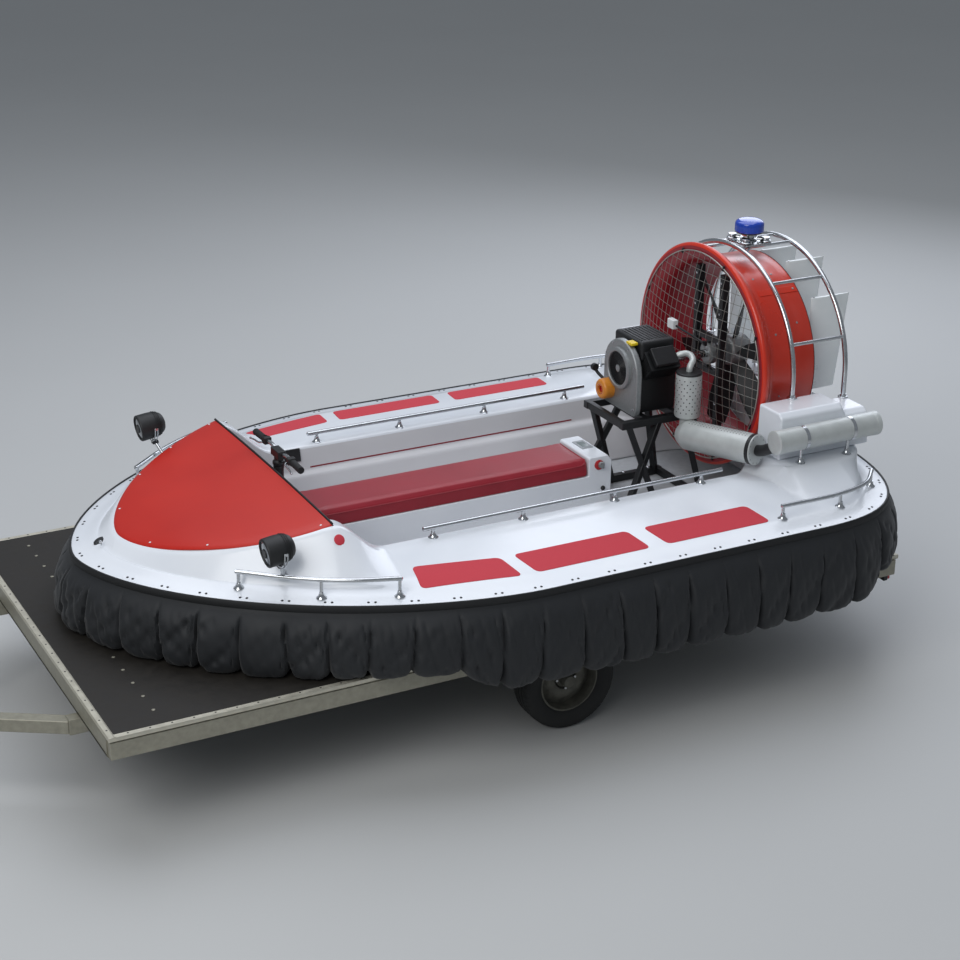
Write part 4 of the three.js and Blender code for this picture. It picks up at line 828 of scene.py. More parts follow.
# %% [markdown]
# The long seat is a foam bench in dark red vinyl. It is blown up like a real cushion: a slightly small form
# is remeshed, and a short cloth simulation with inner pressure and a held underside makes it swell between
# its edges. The movement is capped, so it stays the firm bench of the photo. Piping is sewn on afterwards.

# %% Seat cushion
SEAT_HALF, SEAT_TOP, SEAT_FRONT, SEAT_REAR, SEAT_LOW = 0.16, 1.003, -0.25, 1.333, 0.9088
CELL, PRESSURE, LARGEST_MOVE, FRAMES = 0.006, 4.0, 0.006, 20


def swollen(shape, held_below):
    """A closed form after voxel remeshing and some frames of cloth with inner pressure and no gravity. Points
    below a height are pinned, and no point moves further than the cap."""
    blank = placed("blank", mesh_of("blank", shape))
    cells = blank.modifiers.new("cells", "REMESH")
    cells.mode, cells.voxel_size = "VOXEL", CELL
    finished(blank)
    start = end = read_array(blank.data.vertices, "co")
    held = blank.vertex_groups.new(name="held")
    held.add(np.flatnonzero(start[:, 2] < held_below).tolist(), 1.0, "REPLACE")
    cloth = blank.modifiers.new("cloth", "CLOTH")
    cloth.settings.vertex_group_mass = "held"
    cloth.settings.use_pressure = True
    cloth.settings.uniform_pressure_force = PRESSURE
    cloth.settings.effector_weights.gravity = 0
    cloth.settings.quality = 4
    for step in range(1, FRAMES + 1):
        bpy.context.scene.frame_set(step)
    finished(blank)
    end = read_array(blank.data.vertices, "co")
    bpy.context.scene.frame_set(1)
    move = end - start
    far = np.linalg.norm(move, axis=1, keepdims=True) + 1e-9
    faces = [list(face.vertices) for face in blank.data.polygons]
    bpy.data.objects.remove(blank)
    return start + move * np.minimum(1, LARGEST_MOVE / far), faces


def cushion_blank():
    """The bench before it swells: its cross section is flat below, leans in a little and has eased top edges,
    and shrinks at both ends."""
    half, low = SEAT_HALF - 0.004, SEAT_LOW
    starboard = [(half - 0.008, low), (half, low + 0.01), (half - 0.002, SEAT_TOP - 0.026),
                 (half - 0.02, SEAT_TOP - 0.005)]
    port = [(-y, z) for y, z in starboard]
    section = np.array([port[0], *starboard, *port[:0:-1]])
    middle = np.array([0, SEAT_TOP - 0.045])
    rows = []
    for x, size in ((SEAT_FRONT, 0.955), (SEAT_FRONT + 0.012, 0.99), (SEAT_FRONT + 0.03, 1),
                    (SEAT_REAR - 0.03, 1), (SEAT_REAR - 0.012, 0.99), (SEAT_REAR, 0.955)):
        loop = middle + (section - middle) * size
        rows.append(np.column_stack([np.full(len(loop), x), loop]))
    return loft(rows)


# Vinyl: a leathery grain with a soft sheen along the crown.
VINYL = mottled("dark red upholstery vinyl", "#861020", "#9E1A2C", 150, (0.34, 0.5), 0.35, 1.6,
                Sheen_Weight=0.1)
cushion = piece("vinyl_cushion", swollen(cushion_blank(), SEAT_LOW + 0.006), VINYL, replaces="seat_cushion",
                slot="vinyl")
cushion_tree = BVHTree.FromObject(cushion, bpy.context.evaluated_depsgraph_get())
seam_x, seam_y = (SEAT_FRONT + 0.008, SEAT_REAR - 0.008), SEAT_HALF - 0.012
corners = np.array([(seam_x[0], -seam_y), (seam_x[1], -seam_y), (seam_x[1], seam_y), (seam_x[0], seam_y)])
loop = rounded(corners, 0.03, 6)
dense_loop = np.concatenate([lerp(a, b, np.linspace(0, 1, 24, endpoint=False)[:, None])
                             for a, b in zip(loop, np.roll(loop, -1, 0))])
tops = [hit((x, y, 1.2), (0, 0, -1), cushion_tree)[0] for x, y in dense_loop]
seam = np.array([(x, y, top[2]) for (x, y), top in zip(dense_loop, tops) if top is not None])
piece("cushion_piping", tube(np.vstack([seam, seam[:2]]) + [0, 0, 0.0005], 0.0028, 8), VINYL)
print("cushion faces:", len(cushion.data.polygons))

# %% [markdown]
# Under the bench is a white box with the console behind it: a small display on the slope, a round battery
# switch and a knob on the near side. All are simple moulded shapes, so bevelled prisms are enough.

# %% Seat box and console
BOX_HALF, BOX_TOP, CONSOLE_TOP, CONSOLE_FRONT, CONSOLE_REAR = 0.155, 0.9074, 1.01, 1.338, 1.475
BOX_LOW, BOX_FRONT = HULL_BOTTOM_Z + 0.001, SEAT_FRONT + 0.001
box_line = [(BOX_FRONT, BOX_LOW), (CONSOLE_REAR, BOX_LOW), (CONSOLE_REAR, CONSOLE_TOP - 0.03),
            (CONSOLE_REAR - 0.024, CONSOLE_TOP), (CONSOLE_FRONT + 0.007, CONSOLE_TOP),
            (CONSOLE_FRONT, CONSOLE_TOP - 0.007), (CONSOLE_FRONT, BOX_TOP), (BOX_FRONT, BOX_TOP)]
piece("seat_console", prism(box_line, -BOX_HALF, BOX_HALF), WHITE_GEL, replaces="seat_box", slot="gelcoat",
      bevel=0.01, segments=4)
# Bezel: a matt grey frame. Display: unlit, so it is a dark green-grey mirror.
BEZEL = mottled("grey instrument bezel", "#8C9094", "#A2A6AA", 20, (0.35, 0.5))
DISPLAY = mottled("unlit liquid crystal", "#5F6B6A", "#7C8988", 30, (0.06, 0.12), Coat_Weight=0.6)
panel_mid = np.array([1.405, 0.03, CONSOLE_TOP])
piece("console_bezel", block(panel_mid - [0.034, 0.056, 0.004], panel_mid + [0.034, 0.056, 0.0035]), BEZEL,
      bevel=0.0025, segments=3)
piece("console_display", block(panel_mid - [0.02, 0.034, 0], panel_mid + [0.02, 0.034, 0.0042]), DISPLAY,
      bevel=0.0006)
switch_at = np.array([1.397, -BOX_HALF, 0.965])
plate = [(0.002, 0), (0.002, 0.027), (-0.006, 0.027), (-0.009, 0.023), (-0.009, 0)]
piece("battery_switch_red", turned(plate, switch_at, "y", 40), LENS_RED)
knob_at = switch_at + [0.008, 0, 0.002]
knob = turned([(-0.008, 0), (-0.008, 0.018), (-0.02, 0.016), (-0.022, 0)], knob_at, "y", 28)
key = block(switch_at + [0.002, -0.03, -0.014], switch_at + [0.016, -0.012, 0.02])
piece("battery_switch_knob", joined(knob, key), CAST, bevel=0.0015)
piece("console_side_knob", turned([(0.001, 0), (0.001, 0.012), (-0.008, 0.012), (-0.012, 0.009), (-0.012, 0)],
                                  (1.424, -BOX_HALF, 0.83), "y", 20), BLACK_PLASTIC)
piece("console_rear_cap", turned([(0.0, 0), (0.0, 0.034), (0.008, 0.034), (0.012, 0.028), (0.013, 0)],
                                 (CONSOLE_REAR, -0.02, 0.93), "x", 32), BLACK_PLASTIC)
print("console parts placed at", switch_at.round(3))

# %% [markdown]
# Steering is by a handlebar on a fixed column, much like a motorcycle's: ribbed rubber grips, a switch block
# and a lever on each side. The bar turns with its own body; the column belongs to the hull.

# %% Column and handlebar
BAR_X, BAR_Z, BAR_R = -0.33, 1.28, 0.0105
post_profile = [(BOX_LOW, 0), (BOX_LOW, 0.055), (BOX_LOW + 0.009, 0.055), (BOX_LOW + 0.012, 0.03),
                (BOX_LOW + 0.029, 0.024), (1.2, 0.024), (1.205, 0.0265), (1.2185, 0.0265), (1.2185, 0)]
flange_bolts = [(BAR_X + dx, dy, HULL_BOTTOM_Z + 0.0095) for dx in (-0.03, 0.03) for dy in (-0.03, 0.03)]
piece("steering_post", joined(turned(post_profile, (BAR_X, 0, 0), "z", 40),
                              bolt_heads(0.007, 0.006, flange_bolts, (0, 0, 1), down=0.001)),
      BLACK_STEEL, replaces="steering_column", slot="black_steel")
GRIP_R, RIB_R, RIB_PITCH, RIBS = 0.0155, 0.0172, 0.0085, 11
grip_profile = [(0, 0), (0, 0.02), (0.004, 0.02), (0.006, GRIP_R)]
for k in range(RIBS):
    start = k * RIB_PITCH
    grip_profile += [(0.01 + start, GRIP_R), (0.012 + start, RIB_R), (0.016 + start, RIB_R)]
grip_profile += [(0.106, GRIP_R), (0.108, 0.0178), (0.114, 0.017), (0.116, 0)]
BAR_MID = np.array([BAR_X, 0, BAR_Z])
bars, grips, levers, housings = [], [], [], []
for sign in (-1, 1):
    line = BAR_MID + [(0, 0, 0), (0.002, sign * 0.035, 0.002), (0.006, sign * 0.09, 0.012),
                      (0.002, sign * 0.17, 0.012), (-0.002, sign * 0.275, 0.012)]
    bars.append(tube(spline(line, 40), BAR_R, 16))
    grips.append(standing(grip_profile, [BAR_MID + (0.002, sign * 0.172, 0.012)], [(-0.036, sign, 0)], 28,
                          (0, 0, 1)))
    lever = BAR_MID + [(-0.02, sign * 0.152, 0.006), (-0.034, sign * 0.17, 0.002),
                       (-0.036, sign * 0.22, -0.002), (-0.042, sign * 0.266, -0.006)]
    levers.append(tube(spline(lever, 24), np.r_[np.linspace(0.005, 0.0042, 22), 0.006, 0.004], 10))
    housings.append(beam(BAR_MID + (0.003, sign * 0.136, 0.012), BAR_MID + (0.002, sign * 0.168, 0.012),
                         0.04, 0.036))
stem = turned([(-0.0595, 0), (-0.0595, 0.028), (-0.052, 0.03), (-0.04, 0.03), (-0.035, 0.022),
               (-0.018, 0.022), (-0.018, 0)], BAR_MID, "z", 36)
riser = block(BAR_MID - (0.022, 0.048, 0.019), BAR_MID + (0.022, 0.048, 0.021))
piece("bar_tube", joined(*bars, *levers), STEEL, body="handlebar")
piece("bar_grips", joined(*grips), BLACK_RUBBER, body="handlebar")
piece("bar_switches", joined(*housings), BLACK_PLASTIC, body="handlebar", bevel=0.006, segments=4)
piece("bar_clamp", joined(stem, riser), BLACK_STEEL, body="handlebar", replaces="handlebar",
      slot="black_steel", bevel=0.004, segments=3)
print("handlebar pieces: 4")

# %% [markdown]
# The duct is a fibreglass ring: a flared lip in front and a straight barrel. It is turned from one profile.
# The barrel is made in two halves, so a lapped seam with pale rivets runs along each upper side.

# %% Fan duct
DUCT_Z, DUCT_FRONT, DUCT_REAR, DUCT_EDGE = 1.42, 2.089, 2.47, 2.4695
BARREL, THROAT = 0.515, 0.485
lip = spline([(2.179, THROAT), (2.15, 0.4925), (2.123, 0.511), (2.103, 0.537), (2.0915, 0.563),
              (2.0905, 0.585), (2.099, 0.5975), (2.112, 0.5985), (2.13, 0.588), (2.152, 0.565),
              (2.175, 0.539), (2.195, 0.522), (2.222, BARREL)], 60)
LIP_EDGE = 24  # the point of the lip where the red outside gives way to the dark lining
outer = np.vstack([lip[LIP_EDGE:],
                   [(2.4665, BARREL), (DUCT_EDGE, BARREL - 0.002), (DUCT_EDGE, BARREL - 0.014)]])
inner = np.vstack([[(DUCT_EDGE, BARREL - 0.0139), (DUCT_EDGE, THROAT + 0.004), (2.466, THROAT)],
                   lip[:LIP_EDGE + 1]])
FAN_AXIS = (0, 0, DUCT_Z)
piece("duct_shell", turned(outer, FAN_AXIS, segments=160), DUCT_RED, replaces="duct", slot="red_gelcoat")
# The lining's darker red is painted shade inside the duct.
piece("duct_lining", turned(inner, FAN_AXIS, segments=160), DUCT_SHADE_RED)


def circle(x, radius, turns):
    """Points round the fan's axis, at angles from straight up towards starboard."""
    return np.column_stack([np.full(len(turns), x), np.sin(turns) * radius, DUCT_Z + np.cos(turns) * radius])


def on_barrel(degrees, x, lift=0.0):
    """A point of the duct's barrel: the angle is from straight up, towards starboard."""
    a = np.radians(degrees)
    r = BARREL + lift
    return np.stack([x + 0 * a, r * np.sin(a), DUCT_Z + r * np.cos(a)], -1)


def strap(middle, half, x0, x1, lift, sunk=-0.002):
    """A thin band bent to the barrel between two places along it, its edges let into the barrel."""
    angles = np.r_[middle - half, np.linspace(middle - half, middle + half, 7), middle + half]
    across = np.array([(x0, sunk), (x0, lift), (x1, lift), (x1, sunk)])
    lifts = np.tile(across[:, 1:], len(angles))
    lifts[:, [0, -1]] = sunk
    return grid(on_barrel(angles, across[:, :1], lifts))


SEAM, SEAM_LIFT = 38, 0.003
# Rivets on each side: the angle from straight up, and the place along the barrel.
RIVETS = ((27, 2.245), (25, 2.37), (SEAM, 2.44), (59, 2.32), (59, 2.39), (64, 2.245), (101, 2.26))
WHOLE_TURN = np.linspace(0, 2 * np.pi, 121)
piece("duct_seam", joined(*[strap(side * SEAM, 2.0, 2.228, 2.464, SEAM_LIFT) for side in (-1, 1)]), DUCT_RED,
      bevel=0.001)
rivet_at = np.array([on_barrel(side * angle, x, SEAM_LIFT * (angle == SEAM)) for side in (-1, 1)
                     for angle, x in RIVETS])
rivet_ways = (rivet_at - FAN_AXIS) * [0, 1, 1]
piece("duct_rivets", scattered(button(0.006, 0.003, 12), rivet_at, rivet_ways), CAST)
rear_edge = circle(DUCT_EDGE - 0.001, BARREL - 0.001, WHOLE_TURN)
piece("duct_rear_edging", tube(rear_edge, 0.0022, 8, hint=(1, 0, 0), ends=False), BLACK_RUBBER)
print("duct faces:", 160 * (len(outer) + len(inner)))

# %% [markdown]
# A welded wire guard closes the duct's mouth, domed towards the engine. Wires stand 50 mm apart both ways;
# each is a tube laid on the dome, and the middle gap lets the fan shaft through.

# %% Wire guard
GUARD_R, GUARD_DOME, PITCH, WIRE_R = 0.56, 0.095, 0.05, 0.0014


def dome_x(r):
    """How far forward the guard stands at a distance from its middle: a quarter wave of the cosine."""
    return DUCT_FRONT - 0.005 - GUARD_DOME * np.cos(np.minimum(r, GUARD_R) / GUARD_R * np.pi / 2)


wires = []
for c in np.arange(-10.5, 11) * PITCH:
    s = np.linspace(-1, 1, 25) * np.sqrt(GUARD_R**2 - c * c)
    bow = dome_x(np.hypot(s, c))
    wires.append(tube(np.column_stack([bow, np.full(25, c), DUCT_Z + s]), WIRE_R, 5, hint=(1, 0, 0)))
    wires.append(tube(np.column_stack([bow + 0.0026, s, np.full(25, DUCT_Z + c)]), WIRE_R, 5, hint=(1, 0, 0)))
wires.append(tube(circle(DUCT_FRONT - 0.0045, GUARD_R, WHOLE_TURN), 0.0035, 10, hint=(1, 0, 0), ends=False))
piece("guard_wires", joined(*wires), WIRE, replaces="duct_guard", slot="stainless")
clip_at = circle(DUCT_FRONT - 0.002, GUARD_R, np.radians([20, 65, 115, 160, 200, 245, 295, 340]))
clip = block((-0.014, -0.006, -0.003), (0.014, 0.006, 0.0055))
piece("guard_clips", scattered(clip, clip_at, (-1, 0, 0)), BLACK_PLASTIC, bevel=0.001)
piece("guard_junction_box", block((1.966, 0.07, 1.555), (1.9985, 0.128, 1.605)), RUDDER_PAINT, bevel=0.004,
      segments=3)
piece("guard_stay", joined(tube([(1.987, 0.071, 1.574), (1.996, -0.188, 1.553)], 0.006, 12),
                           block((1.99, -0.2, 1.542), (2.004, -0.178, 1.564))), BLACK_STEEL)
print("wires:", len(wires))

# %% [markdown]
# Behind the guard two black uprights carry the shaft bearing, and the fan turns in the throat. A blade's
# sections follow a real fan's: coarse pitch at the hub, fine at the tip, each a thin aerofoil.

# %% Bearing frame and fan
MOUNT_X, UPRIGHT_Y, SHAFT_R = DUCT_FRONT + 0.046, 0.115, 0.0215
mount = [block((MOUNT_X, y - 0.018, DUCT_Z - 0.464), (MOUNT_X + 0.04, y + 0.018, DUCT_Z + 0.464))
         for y in (-UPRIGHT_Y, UPRIGHT_Y)]
# Cross bars: how far they are let in, their half width, their height from the axis, and their half height.
for inset, half, z, thick in ((0.004, 0.11, 0.09, 0.016), (0.008, 0.01, 0.066, 0.02)):
    mount += [block((MOUNT_X + inset, -half, DUCT_Z + s * z - thick),
                    (MOUNT_X + 0.04 - inset, half, DUCT_Z + s * z + thick)) for s in (-1, 1)]
piece("bearing_frame", joined(*mount), BLACK_STEEL, replaces="fan_mount", slot="black_steel", bevel=0.003)
bearing = [(0, 0.0229), (0, 0.046), (0.004, 0.05), (0.006, 0.06), (0.038, 0.06), (0.044, 0.054),
           (0.044, 0.0229)]
piece("shaft_bearing", turned(bearing, (MOUNT_X, 0, DUCT_Z), segments=48), CAST)
frame_bolts = [(MOUNT_X, y, DUCT_Z + z) for y in (-UPRIGHT_Y, UPRIGHT_Y)
               for z in (-0.42, -0.25, -0.09, 0.09, 0.25, 0.42)]
piece("frame_bolts", bolt_heads(0.008, 0.006, frame_bolts, (-1, 0, 0), down=0.001), STEEL)
FAN_X, BLADES, BLADE_SIDES, FIRST_BLADE = 2.31, 6, 28, 0.26
# Along a blade: radius, half chord and pitch in degrees.
STATIONS, HALF_CHORDS, PITCHES = [0.06, 0.18, 0.33, 0.476], [0.034, 0.058, 0.068, 0.058], [62, 52, 34, 24]
TIP_START, TIP_LENGTH = 0.45, 0.0262


def blade(angle):
    """One blade: an aerofoil whose half chord and pitch are interpolated along the radius; the outermost part
    of the chord is drawn in for a rounded tip."""
    r = np.append(np.linspace(STATIONS[0], TIP_START, 18), [0.46, 0.468, 0.473, 0.4755])
    tip = np.sqrt(np.clip(1 - ((r - TIP_START) / TIP_LENGTH) ** 2, 0, 1))
    chord = np.interp(r, STATIONS, HALF_CHORDS) * np.where(r > TIP_START, tip, 1)
    pitch = np.radians(np.interp(r, STATIONS, PITCHES))
    t = np.linspace(0, 2 * np.pi, BLADE_SIDES, endpoint=False)
    u = np.cos(t)[None] * chord[:, None]
    w = np.sin(t)[None] * 0.0045 * (1 - 0.45 * np.cos(t)) + 0.08 * chord[:, None] * (1 - np.cos(t) ** 2)[None]
    s, c = np.sin(pitch)[:, None], np.cos(pitch)[:, None]
    x, y, z = u * s + w * c, u * c - w * s, np.broadcast_to(r[:, None], u.shape)
    ca, sa = np.cos(angle), np.sin(angle)
    verts, faces = grid(np.stack([FAN_X + x, y * ca - z * sa, DUCT_Z + y * sa + z * ca], -1), wrap_v=True)
    return verts, faces + [list(range(len(verts) - BLADE_SIDES, len(verts)))]


blades = [blade(k / BLADES * 2 * np.pi + FIRST_BLADE) for k in range(BLADES)]
piece("fan_blades", joined(*blades), BLACK_PLASTIC, body="fan", replaces="fan", slot="black_plastic")
hub = spline([(-0.058, 0.0), (-0.058, 0.03), (-0.056, 0.062), (-0.04, 0.082), (0.0, 0.084), (0.048, 0.083),
              (0.078, 0.066), (0.098, 0.036), (0.104, 0.0)], 48)
hub[:, 1] = np.maximum(hub[:, 1], 0)
piece("fan_hub", turned(hub, (FAN_X, 0, DUCT_Z), segments=72), CAST, body="fan")
shaft = [(1.8975, 0), (1.8975, 0.0195), (1.9, SHAFT_R), (1.93, SHAFT_R), (1.934, 0.0195), (2.06, 0.0195),
         (2.07, SHAFT_R), (2.24, SHAFT_R), (2.26, SHAFT_R), (2.26, 0)]
piece("fan_shaft", turned(shaft, FAN_AXIS, segments=32), STEEL, body="fan")
print("blades:", len(blades))

# %% [markdown]
# Four white rudders hang behind the duct on pins and turn with the bar. Each is a plywood aerofoil with
# rounded nose and thin tail; hinge fittings hold it at top and foot.

# %% Rudders and their shelf
RUDDER_X, RUDDER_LOW, CHORD, NOSE, SHELF_HALF = 2.55, 1.266, 0.23, 0.016, 0.559
t = np.linspace(0, 2 * np.pi, 44, endpoint=False)
for number, y in enumerate((-0.36, -0.12, 0.12, 0.36), 1):
    high = DUCT_Z + math.sqrt((BARREL - 0.006) ** 2 - y * y) - 0.006
    levels = np.r_[RUDDER_LOW, RUDDER_LOW + 0.002, np.linspace(RUDDER_LOW + 0.01, high - 0.004, 16),
                   high - 0.001, high]
    rows = []
    for level in levels:
        tail = lerp(CHORD - 0.06, CHORD, (level - RUDDER_LOW) / (high - RUDDER_LOW))
        along = -NOSE + (tail + NOSE) * (0.5 - 0.5 * np.cos(t))
        eased = 0.93 if level in (levels[0], levels[-1]) else 1
        thick = 0.0088 * (np.sin(t) * (1 + 0.5 * np.cos(t))) * eased
        rows.append(np.column_stack([RUDDER_X + along, y + thick, np.full(len(t), level)]))
    body = f"rudder_{number}"
    piece(f"rudder_blade_{number}", loft(rows), RUDDER_PAINT, body=body, replaces=body, slot="rudder_white")
    pins = [rod(z0, z1, r, (RUDDER_X, y, 0)) for z0, z1, r in (
        (RUDDER_LOW - 0.012, RUDDER_LOW + 0.004, 0.006), (high - 0.004, high + 0.004, 0.005))]
    horn = [block((RUDDER_X - 0.004, y + s * 0.0085 - 0.0012, z - 0.012),
                  (RUDDER_X + 0.05, y + s * 0.0085 + 0.0012, z + 0.012)) for s in (-1, 1)
            for z in (RUDDER_LOW + 0.03, RUDDER_LOW + 0.12)]
    piece(f"rudder_fittings_{number}", joined(*pins, *horn), STEEL, body=body)
piece("rudder_shelf_board", block((DUCT_REAR + 0.0005, -SHELF_HALF, RUDDER_LOW - 0.024),
                                  (RUDDER_X + 0.026, SHELF_HALF, RUDDER_LOW - 0.0125)),
      WHITE_GEL, replaces="rudder_shelf", slot="gelcoat", bevel=0.003, segments=3)
print("rudders: 4")

# %% [markdown]
# Two bent stainless hoops guard the duct, tied together along their length. Their feet are flanged on the
# white pods; a plate between their tops carries the blue beacon on its stack of horns.

# %% Hoops over the duct
HOOP_R, HOOP_TUBE = 0.6, 0.014
HOOP_ACROSS, HOOP_UP = HOOP_R + HOOP_TUBE, HOOP_R - HOOP_TUBE
HOOP_XS, POD_TOP, POD_REAR = (2.262, 2.592), 1.345, 1.3
BEACON_X, PLATE_Z = 2.37, 2.0185
# Ties between the hoops: the angle from straight up, and the tube's radius.
TIES = ((-70, 0.0095), (-37, 0.0095), (37, 0.0095), (70, 0.0095), (-7, 0.0085), (7, 0.0085))


def on_hoop(x, degrees):
    """A point of a hoop's middle line; the angle is from straight up, towards starboard."""
    a = np.radians(degrees)
    return np.stack([x + 0 * a, np.sin(a) * HOOP_ACROSS, DUCT_Z + np.cos(a) * HOOP_UP], -1)


flange = [(0, 0), (0, 0.027), (0.004, 0.027), (0.006, 0.024), (0.007, 0.018), (0.018, 0.0165), (0.019, 0)]
parts = []
for x, foot_z in zip(HOOP_XS, (POD_TOP, POD_REAR)):
    arch = on_hoop(x, np.linspace(-90, 90, 97))
    legs = [np.array([(x, s * HOOP_ACROSS, z) for z in (foot_z + 0.0005, foot_z + 0.04, DUCT_Z - 0.03)])
            for s in (-1, 1)]
    parts.append(tube(np.vstack([legs[0], arch, legs[1][::-1]]), 0.0135, 20, hint=(1, 0, 0)))
    parts.append(standing(flange, [leg[0] for leg in legs], (0, 0, 1), 32))
parts += [tube([on_hoop(x, degrees) for x in HOOP_XS], radius, 16) for degrees, radius in TIES]
parts += [tube([on_hoop(HOOP_XS[0], side * 13), (BEACON_X - 0.012, side * 0.055, PLATE_Z)], 0.0055, 12)
          for side in (-1, 1)]
piece("hoop_tubes", joined(*parts), STEEL, replaces="guard_hoops", slot="stainless")
piece("beacon_plate", block((2.29, -0.095, PLATE_Z - 0.008), (2.45, 0.095, PLATE_Z - 0.0005)), STEEL,
      bevel=0.002)
print("hoop parts:", len(parts))

# %% [markdown]
# The beacon's lens is blown polycarbonate with fine upright flutes, over a black base. Four turned horn bells
# stand under it round a middle one, each on a short pipe.

# %% Beacon and horns
BEACON_BASE, FLUTES, FLUTE_DEPTH = PLATE_Z + 0.0074, 45, 0.012
around = np.linspace(0, 2 * np.pi, 4 * FLUTES, endpoint=False)[:, None]
lens = spline([(0.036, 0.066), (0.044, 0.0765), (0.06, 0.077), (0.082, 0.0765), (0.094, 0.071),
               (0.1025, 0.055), (0.1065, 0.03), (0.108, 0.0)], 40)
fluted = (lens[:, 0] > 0.046) & (lens[:, 0] < 0.086)
radius = np.maximum(lens[:, 1], 0) * (1 - FLUTE_DEPTH * (np.cos(around * FLUTES) > 0) * fluted)
dome = np.stack([BEACON_X + np.cos(around) * radius, np.sin(around) * radius,
                 BEACON_BASE + lens[:, 0] + 0 * around], -1)
piece("beacon_lens", grid(dome, wrap_u=True), LENS_BLUE, replaces="beacon", slot="beacon_blue")
piece("beacon_base", turned([(0.0345, 0), (0.0345, 0.06), (0.037, 0.074), (0.041, 0.0755), (0.045, 0.074),
                             (0.045, 0)], (BEACON_X, 0, BEACON_BASE), "z", 72), BLACK_PLASTIC)
bells = [turned([(0.0, 0), (0.0, 0.044), (0.003, 0.045), (0.006, 0.043), (0.012, 0.03), (0.022, 0.03),
                 (0.028, 0.045), (0.034, 0.045), (0.038, 0.04), (0.041, 0)], (BEACON_X, 0, PLATE_Z), "z", 48)]
bell = spline([(0.0, 0.0), (0.0, 0.024), (0.002, 0.0295), (0.006, 0.03), (0.01, 0.024), (0.014, 0.0185),
               (0.018, 0.0205), (0.0215, 0.024), (0.0245, 0.0235), (0.026, 0.016), (0.0265, 0.0)], 44)
bell[:, 1] = np.maximum(bell[:, 1], 0)
PIPE_Z = PLATE_Z + 0.012
for dx, half, up in ((-0.062, 0.062, 0.003), (0.062, 0.066, 0.0)):
    for dy in (half, -half):
        bells.append(turned(bell, (BEACON_X + dx, dy, PLATE_Z + up), "z", 40))
        bells.append(tube([(BEACON_X + dx * share, dy * share, PIPE_Z) for share in (0.5, 0.8)], 0.008, 12))
piece("horn_bells", joined(*bells), STEEL, replaces="horns", slot="stainless")
print("horns: 4, beacon top", round(BEACON_BASE + lens[-1, 0], 4))

# %% [markdown]
# White pods flank the duct and carry the hoops. Their edges are broken by a wide soft bevel, and the outer
# top edge drops, so they are a three-layer loft rather than a box.

# %% Pods
POD_LOW = 1.101
pod_side = [(2.064, POD_LOW), (2.068, POD_TOP), (2.45, POD_TOP), (2.47, POD_REAR), (2.612, POD_REAR),
            (2.632, POD_LOW)]
# Each layer of the loft: its place across, and how far its top edge drops there.
pod_layers = ((0.6025, 0), (0.77, 0), (0.7995, 0.022))
for side, sign in SIDES:
    layers = [[(x, sign * y, z - (drop if z > POD_LOW else 0)) for x, z in pod_side]
              for y, drop in pod_layers]
    piece(f"pod_moulding_{side}", loft(layers), WHITE_GEL, replaces=f"pod_{side}", slot="gelcoat",
          bevel=0.011, segments=4)
print("pods: 2")

# %% [markdown]
# The engine is an air-cooled vee twin. Its blower housing is a flat casting round the fan that cools it; a
# round screen of rings and spokes keeps dirt out, and a black disc behind it is painted shade between its
# wires.

# %% Engine: blower housing and screen
ENGINE_FRONT, ENGINE_REAR, TABLE_Z, BLOWER_Z, BLOWER_R = 1.58, 1.88, 1.19, 1.41, 0.164
SCREEN_R, SCREEN_WIRE = 0.09, 0.0011
FAN_LINE = (ENGINE_FRONT, 0, DUCT_Z)


def arc(radius, degrees):
    """Points of a circle round the blower housing's middle; angles run from starboard upwards."""
    a = np.radians(degrees)
    return np.column_stack([radius * np.cos(a), BLOWER_Z + radius * np.sin(a)])


foot = [(BLOWER_R, TABLE_Z + 0.05), (0.15, TABLE_Z + 0.001), (-0.15, TABLE_Z + 0.001),
        (-BLOWER_R, TABLE_Z + 0.05)]
outline = np.vstack([foot[2:], arc(BLOWER_R, np.linspace(180, 0, 33)), foot[:2]])
piece("blower_shell", prism(outline, ENGINE_FRONT + 0.02, ENGINE_FRONT + 0.0595, "x"), CAST,
      replaces="blower_housing", slot="alloy", bevel=0.011, segments=4)
piece("blower_ring", turned([(0.022, 0.09), (0.004, 0.09), (0.0, 0.094), (0.0, 0.106), (0.004, 0.112),
                             (0.022, 0.114)], FAN_LINE, segments=96), CAST)
mesh_wires = []
turn = np.linspace(0, 2 * np.pi, 73)
for r in np.arange(0.012, SCREEN_R, 0.0065):
    x = ENGINE_FRONT + 0.006 + 0.004 * (r / SCREEN_R) ** 2
    hoop = np.column_stack([x + 0 * turn, r * np.cos(turn), DUCT_Z + r * np.sin(turn)])
    mesh_wires.append(tube(hoop, SCREEN_WIRE, 5, hint=(1, 0, 0), ends=False))
for a in np.linspace(0, 2 * np.pi, 36, endpoint=False):
    way = np.array([0, np.cos(a), np.sin(a)])
    spoke = [FAN_LINE + np.array([dx, 0, 0]) + way * r for dx, r in ((0.0075, 0.012), (0.0112, 0.091))]
    mesh_wires.append(tube(spoke, SCREEN_WIRE, 5, hint=(1, 0, 0)))
piece("blower_screen", joined(*mesh_wires), BLACK_STEEL)
# A black disc behind the screen: painted shade inside the blower housing.
piece("blower_dark", rod(0.017, 0.0195, 0.0905, FAN_LINE, "x", 48), BLACK_RUBBER)
piece("blower_hub", turned([(0.003, 0), (0.003, 0.012), (0.006, 0.02), (0.016, 0.021), (0.0175, 0.021),
                            (0.0175, 0)], FAN_LINE, segments=32), CAST)
screws = np.vstack([arc(0.15, np.array([20, 60, 120, 160])), [(-0.14, 1.23), (0.14, 1.23)]])
screws = np.column_stack([np.full(len(screws), ENGINE_FRONT + 0.02), screws])
